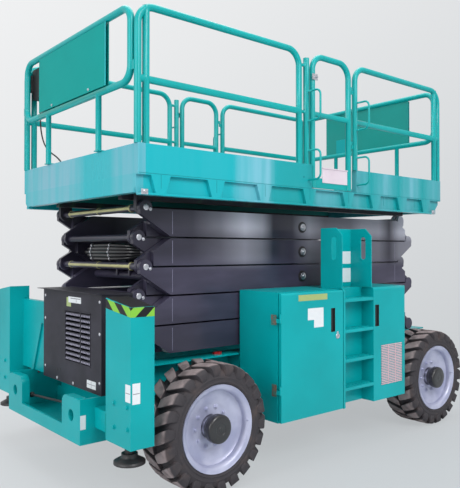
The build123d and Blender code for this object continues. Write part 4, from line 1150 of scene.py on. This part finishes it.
# %% Gate panels and latches
GATE_FACE, KICK_X, KICK_Z, KICK_LIP = -0.888, (0.0190, 0.3430), (2.112, 2.235), 2.226
kick_paint = cloudy("kick_panel", (206, 190, 200), (226, 214, 222), 7, 3, rough=(0.38, 0.12, 40),
                    coat=0.15, specular=0.3)
for side, flipped in SIDES:
    kick = Piece("kick_panel_" + side)
    for out, low in ((0.0075, KICK_Z[0]), (0.0130, KICK_LIP)):
        kick.box((KICK_X[0], GATE_FACE - out, low), (KICK_X[1], GATE_FACE - 0.0042, KICK_Z[1]))
    kick.done("gate_" + side, kick_paint, bevel=0.0008, flipped=flipped)
    latch = Piece("gate_latch_" + side)
    latch.box((-0.1220, GATE_FACE - 0.030, 2.918), (-0.0600, GATE_FACE - 0.0245, 2.966))
    latch.bar((-0.1000, GATE_FACE - 0.036, 2.942), (-0.0660, GATE_FACE - 0.036, 2.942), 0.0055, 14)
    latch.bolt((-0.0860, GATE_FACE - 0.030, 2.957), (0, -1, 0), 0.010, washer=False)
    latch.done("gate_" + side, zinc, bevel=0.0006, flipped=flipped)

# %% End panels
SHEET_IN, SHEET_OUT, SHEET_HALF, SHEET_Z = 1.7380, 1.7400, 0.5480, (2.6690, 3.0970)
FLANGE_WIDE, BOLT_Y, BOLT_Z = 0.018, 0.300, 2.688
panel_paint = cloudy("end_panel_paint", (0, 140, 133), (0, 152, 146), 2.6, grain=(1.8, 1, 0.004, 0.2),
                     roughness=0.55, specular=0.12)
FLANGE_EDGE = FLANGE_WIDE - SHEET_HALF
REAR_PLATE = ((1.7135, 0.20, 2.66), (1.7155, 0.40, 2.82))
sheets = Piece("end_panel_sheets")
flanges = Piece("panel_flanges")
panel_bolts = Piece("panel_bolts")
for sign in (-1, 1):
    inner, outer = sign * SHEET_IN, sign * SHEET_OUT
    proud = outer + sign * 0.0010
    sheets.box((min(inner, outer), FLANGE_EDGE, SHEET_Z[0]), (max(inner, outer), SHEET_HALF, SHEET_Z[1]))
    flanges.box((min(inner, proud), -SHEET_HALF, SHEET_Z[0]),
                (max(inner, proud), FLANGE_EDGE - 0.002, SHEET_Z[1]))
    for y in (-BOLT_Y, BOLT_Y):
        panel_bolts.bolt((outer, y, BOLT_Z), (sign, 0, 0), 0.012)
flanges.box(*REAR_PLATE)
sheets.done("platform", panel_paint, bevel=0.0006)
flanges.done("platform", teal, bevel=0.0006)
panel_bolts.done("platform", zinc, bevel=0.0004)

# %% Corner brackets
BRACKET_LONG, BRACKET_Z, BRACKET_FACE = 0.050, (1.920, 1.955), 0.917
brackets = Piece("corner_brackets")
for x in (-1.690, 1.560):
    middle = x + BRACKET_LONG / 2
    brackets.box((x, -BRACKET_FACE, BRACKET_Z[0]), (x + BRACKET_LONG, -BRACKET_FACE + 0.003, BRACKET_Z[1]))
    brackets.bolt((middle, -BRACKET_FACE, sum(BRACKET_Z) / 2), (0, -1, 0), 0.016)
brackets.both_sides()
brackets.done("platform", zinc, bevel=0.0008)

# %% [markdown]
# ## The control box
#
# The operator's box hangs on the front loop. Its inner face has a red stop button, a joystick
# with a rubber boot, two switches and a blank plate, and the cable leaves it through a nut.

# %% Controls
BOX_FACE, BOX_Y, SWITCH_Z, STICK_Z, PLATE_Z = -1.564, 0.770, 3.030, 2.930, (2.846, 2.882)
STOP_Y, SWITCHES, PLATE_HALF = BOX_Y - 0.030, (BOX_Y + 0.022, BOX_Y + 0.048), 0.055
STOP_COLLAR = ((0.026, 0), (0.026, 0.003), (0.022, 0.005))
STOP_BUTTON = ((0.010, 0), (0.010, 0.014), (0.019, 0.015), (0.020, 0.021), (0.016, 0.026),
               (0.006, 0.028))
STICK = ((0.026, 0), (0.025, 0.006), (0.018, 0.010), (0.020, 0.014), (0.013, 0.019), (0.014, 0.023),
         (0.007, 0.028), (0.007, 0.050), (0.012, 0.056), (0.013, 0.084), (0.009, 0.092))
SWITCH = ((0.009, 0), (0.009, 0.003), (0.005, 0.005), (0.005, 0.014), (0.004, 0.018))
stop_red = cloudy("stop_button_red", (184, 20, 24), (204, 30, 32), 50, roughness=0.35, coat=0.3)
stop_yellow = cloudy("stop_collar_yellow", (214, 180, 30), (230, 196, 44), 50, roughness=0.4, coat=0.2)
collar = Piece("stop_collar")
collar.turned(STOP_COLLAR, (BOX_FACE, STOP_Y, SWITCH_Z), (1, 0, 0), 32)
collar.done("platform", stop_yellow, bevel=0.0004)
button = Piece("stop_button")
button.turned(STOP_BUTTON, (BOX_FACE + 0.003, STOP_Y, SWITCH_Z), (1, 0, 0), 32)
button.done("platform", stop_red, bevel=0.0006)
stick = Piece("joystick")
stick.turned(STICK, (BOX_FACE, BOX_Y, STICK_Z), (1, 0, 0.12), 28)
for y in SWITCHES:
    stick.turned(SWITCH, (BOX_FACE, y, SWITCH_Z), (1, 0, 0.3), 20)
stick.done("platform", plastic, bevel=0.0005)
labels("control_plate", "platform", label_white, [
        ((BOX_FACE - 0.001, BOX_Y - PLATE_HALF, PLATE_Z[0]),
         (BOX_FACE + 0.0008, BOX_Y + PLATE_HALF, PLATE_Z[1]))])
print("the platform has panels, latches and its control box")

# %% [markdown]
# ## The control cable
#
# The cable from the control box to the deck hangs free, so it is a soft cord: one curve through
# its route. It leaves the box through a plastic nut and a tapered rubber sleeve, which keeps it
# from bending sharply, and it enters the deck through a second sleeve.

# %% Cable
CABLE_ROUTE = ((-1.624, 0.800, 2.835), (-1.624, 0.800, 2.70274), (-1.628, 0.772, 2.565034),
               (-1.634, 0.690, 2.442888), (-1.639, 0.560, 2.36431), (-1.641, 0.415, 2.307516),
               (-1.641, 0.290, 2.221936), (-1.640, 0.232, 2.153472), (-1.640, 0.232, 2.06867))
CABLE_THICK = 0.012


curve = bpy.data.curves.new("control_cable_cord", "CURVE")
curve.dimensions = "3D"
curve.bevel_depth = CABLE_THICK / 2
curve.bevel_resolution = 5
curve.resolution_u = 16
spline = curve.splines.new("NURBS")
spline.points.add(len(CABLE_ROUTE) - 1)
for point, place in zip(spline.points, CABLE_ROUTE):
    point.co = (*place, 1)
spline.order_u = 3
spline.use_endpoint_u = True
cable = bpy.data.objects.new("control_cable_cord", curve)
bpy.context.scene.collection.objects.link(cable)
curve.materials.append(cable_rubber.material)
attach(cable, "platform")
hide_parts("control_cable")

# %% Strain reliefs
EXIT, ENTRY = CABLE_ROUTE[0], CABLE_ROUTE[-1]
TOP_SLEEVE = ((0.0135, 0), (0.0135, 0.006), (0.0115, 0.009), (0.0098, 0.012), (0.0105, 0.016),
              (0.0092, 0.020), (0.0098, 0.024), (0.0082, 0.030), (0.0072, 0.040))
DECK_SLEEVE = ((0.0135, 0), (0.0135, 0.008), (0.0110, 0.011), (0.0092, 0.020), (0.0074, 0.034))
for end, view, place, along in (("top", TOP_SLEEVE, EXIT, -1), ("deck", DECK_SLEEVE, ENTRY, 1)):
    sleeve = Piece("cable_relief_" + end)
    sleeve.turned(view, place, (0, 0, along), 24)
    sleeve.done("platform", plastic, bevel=0.0003)
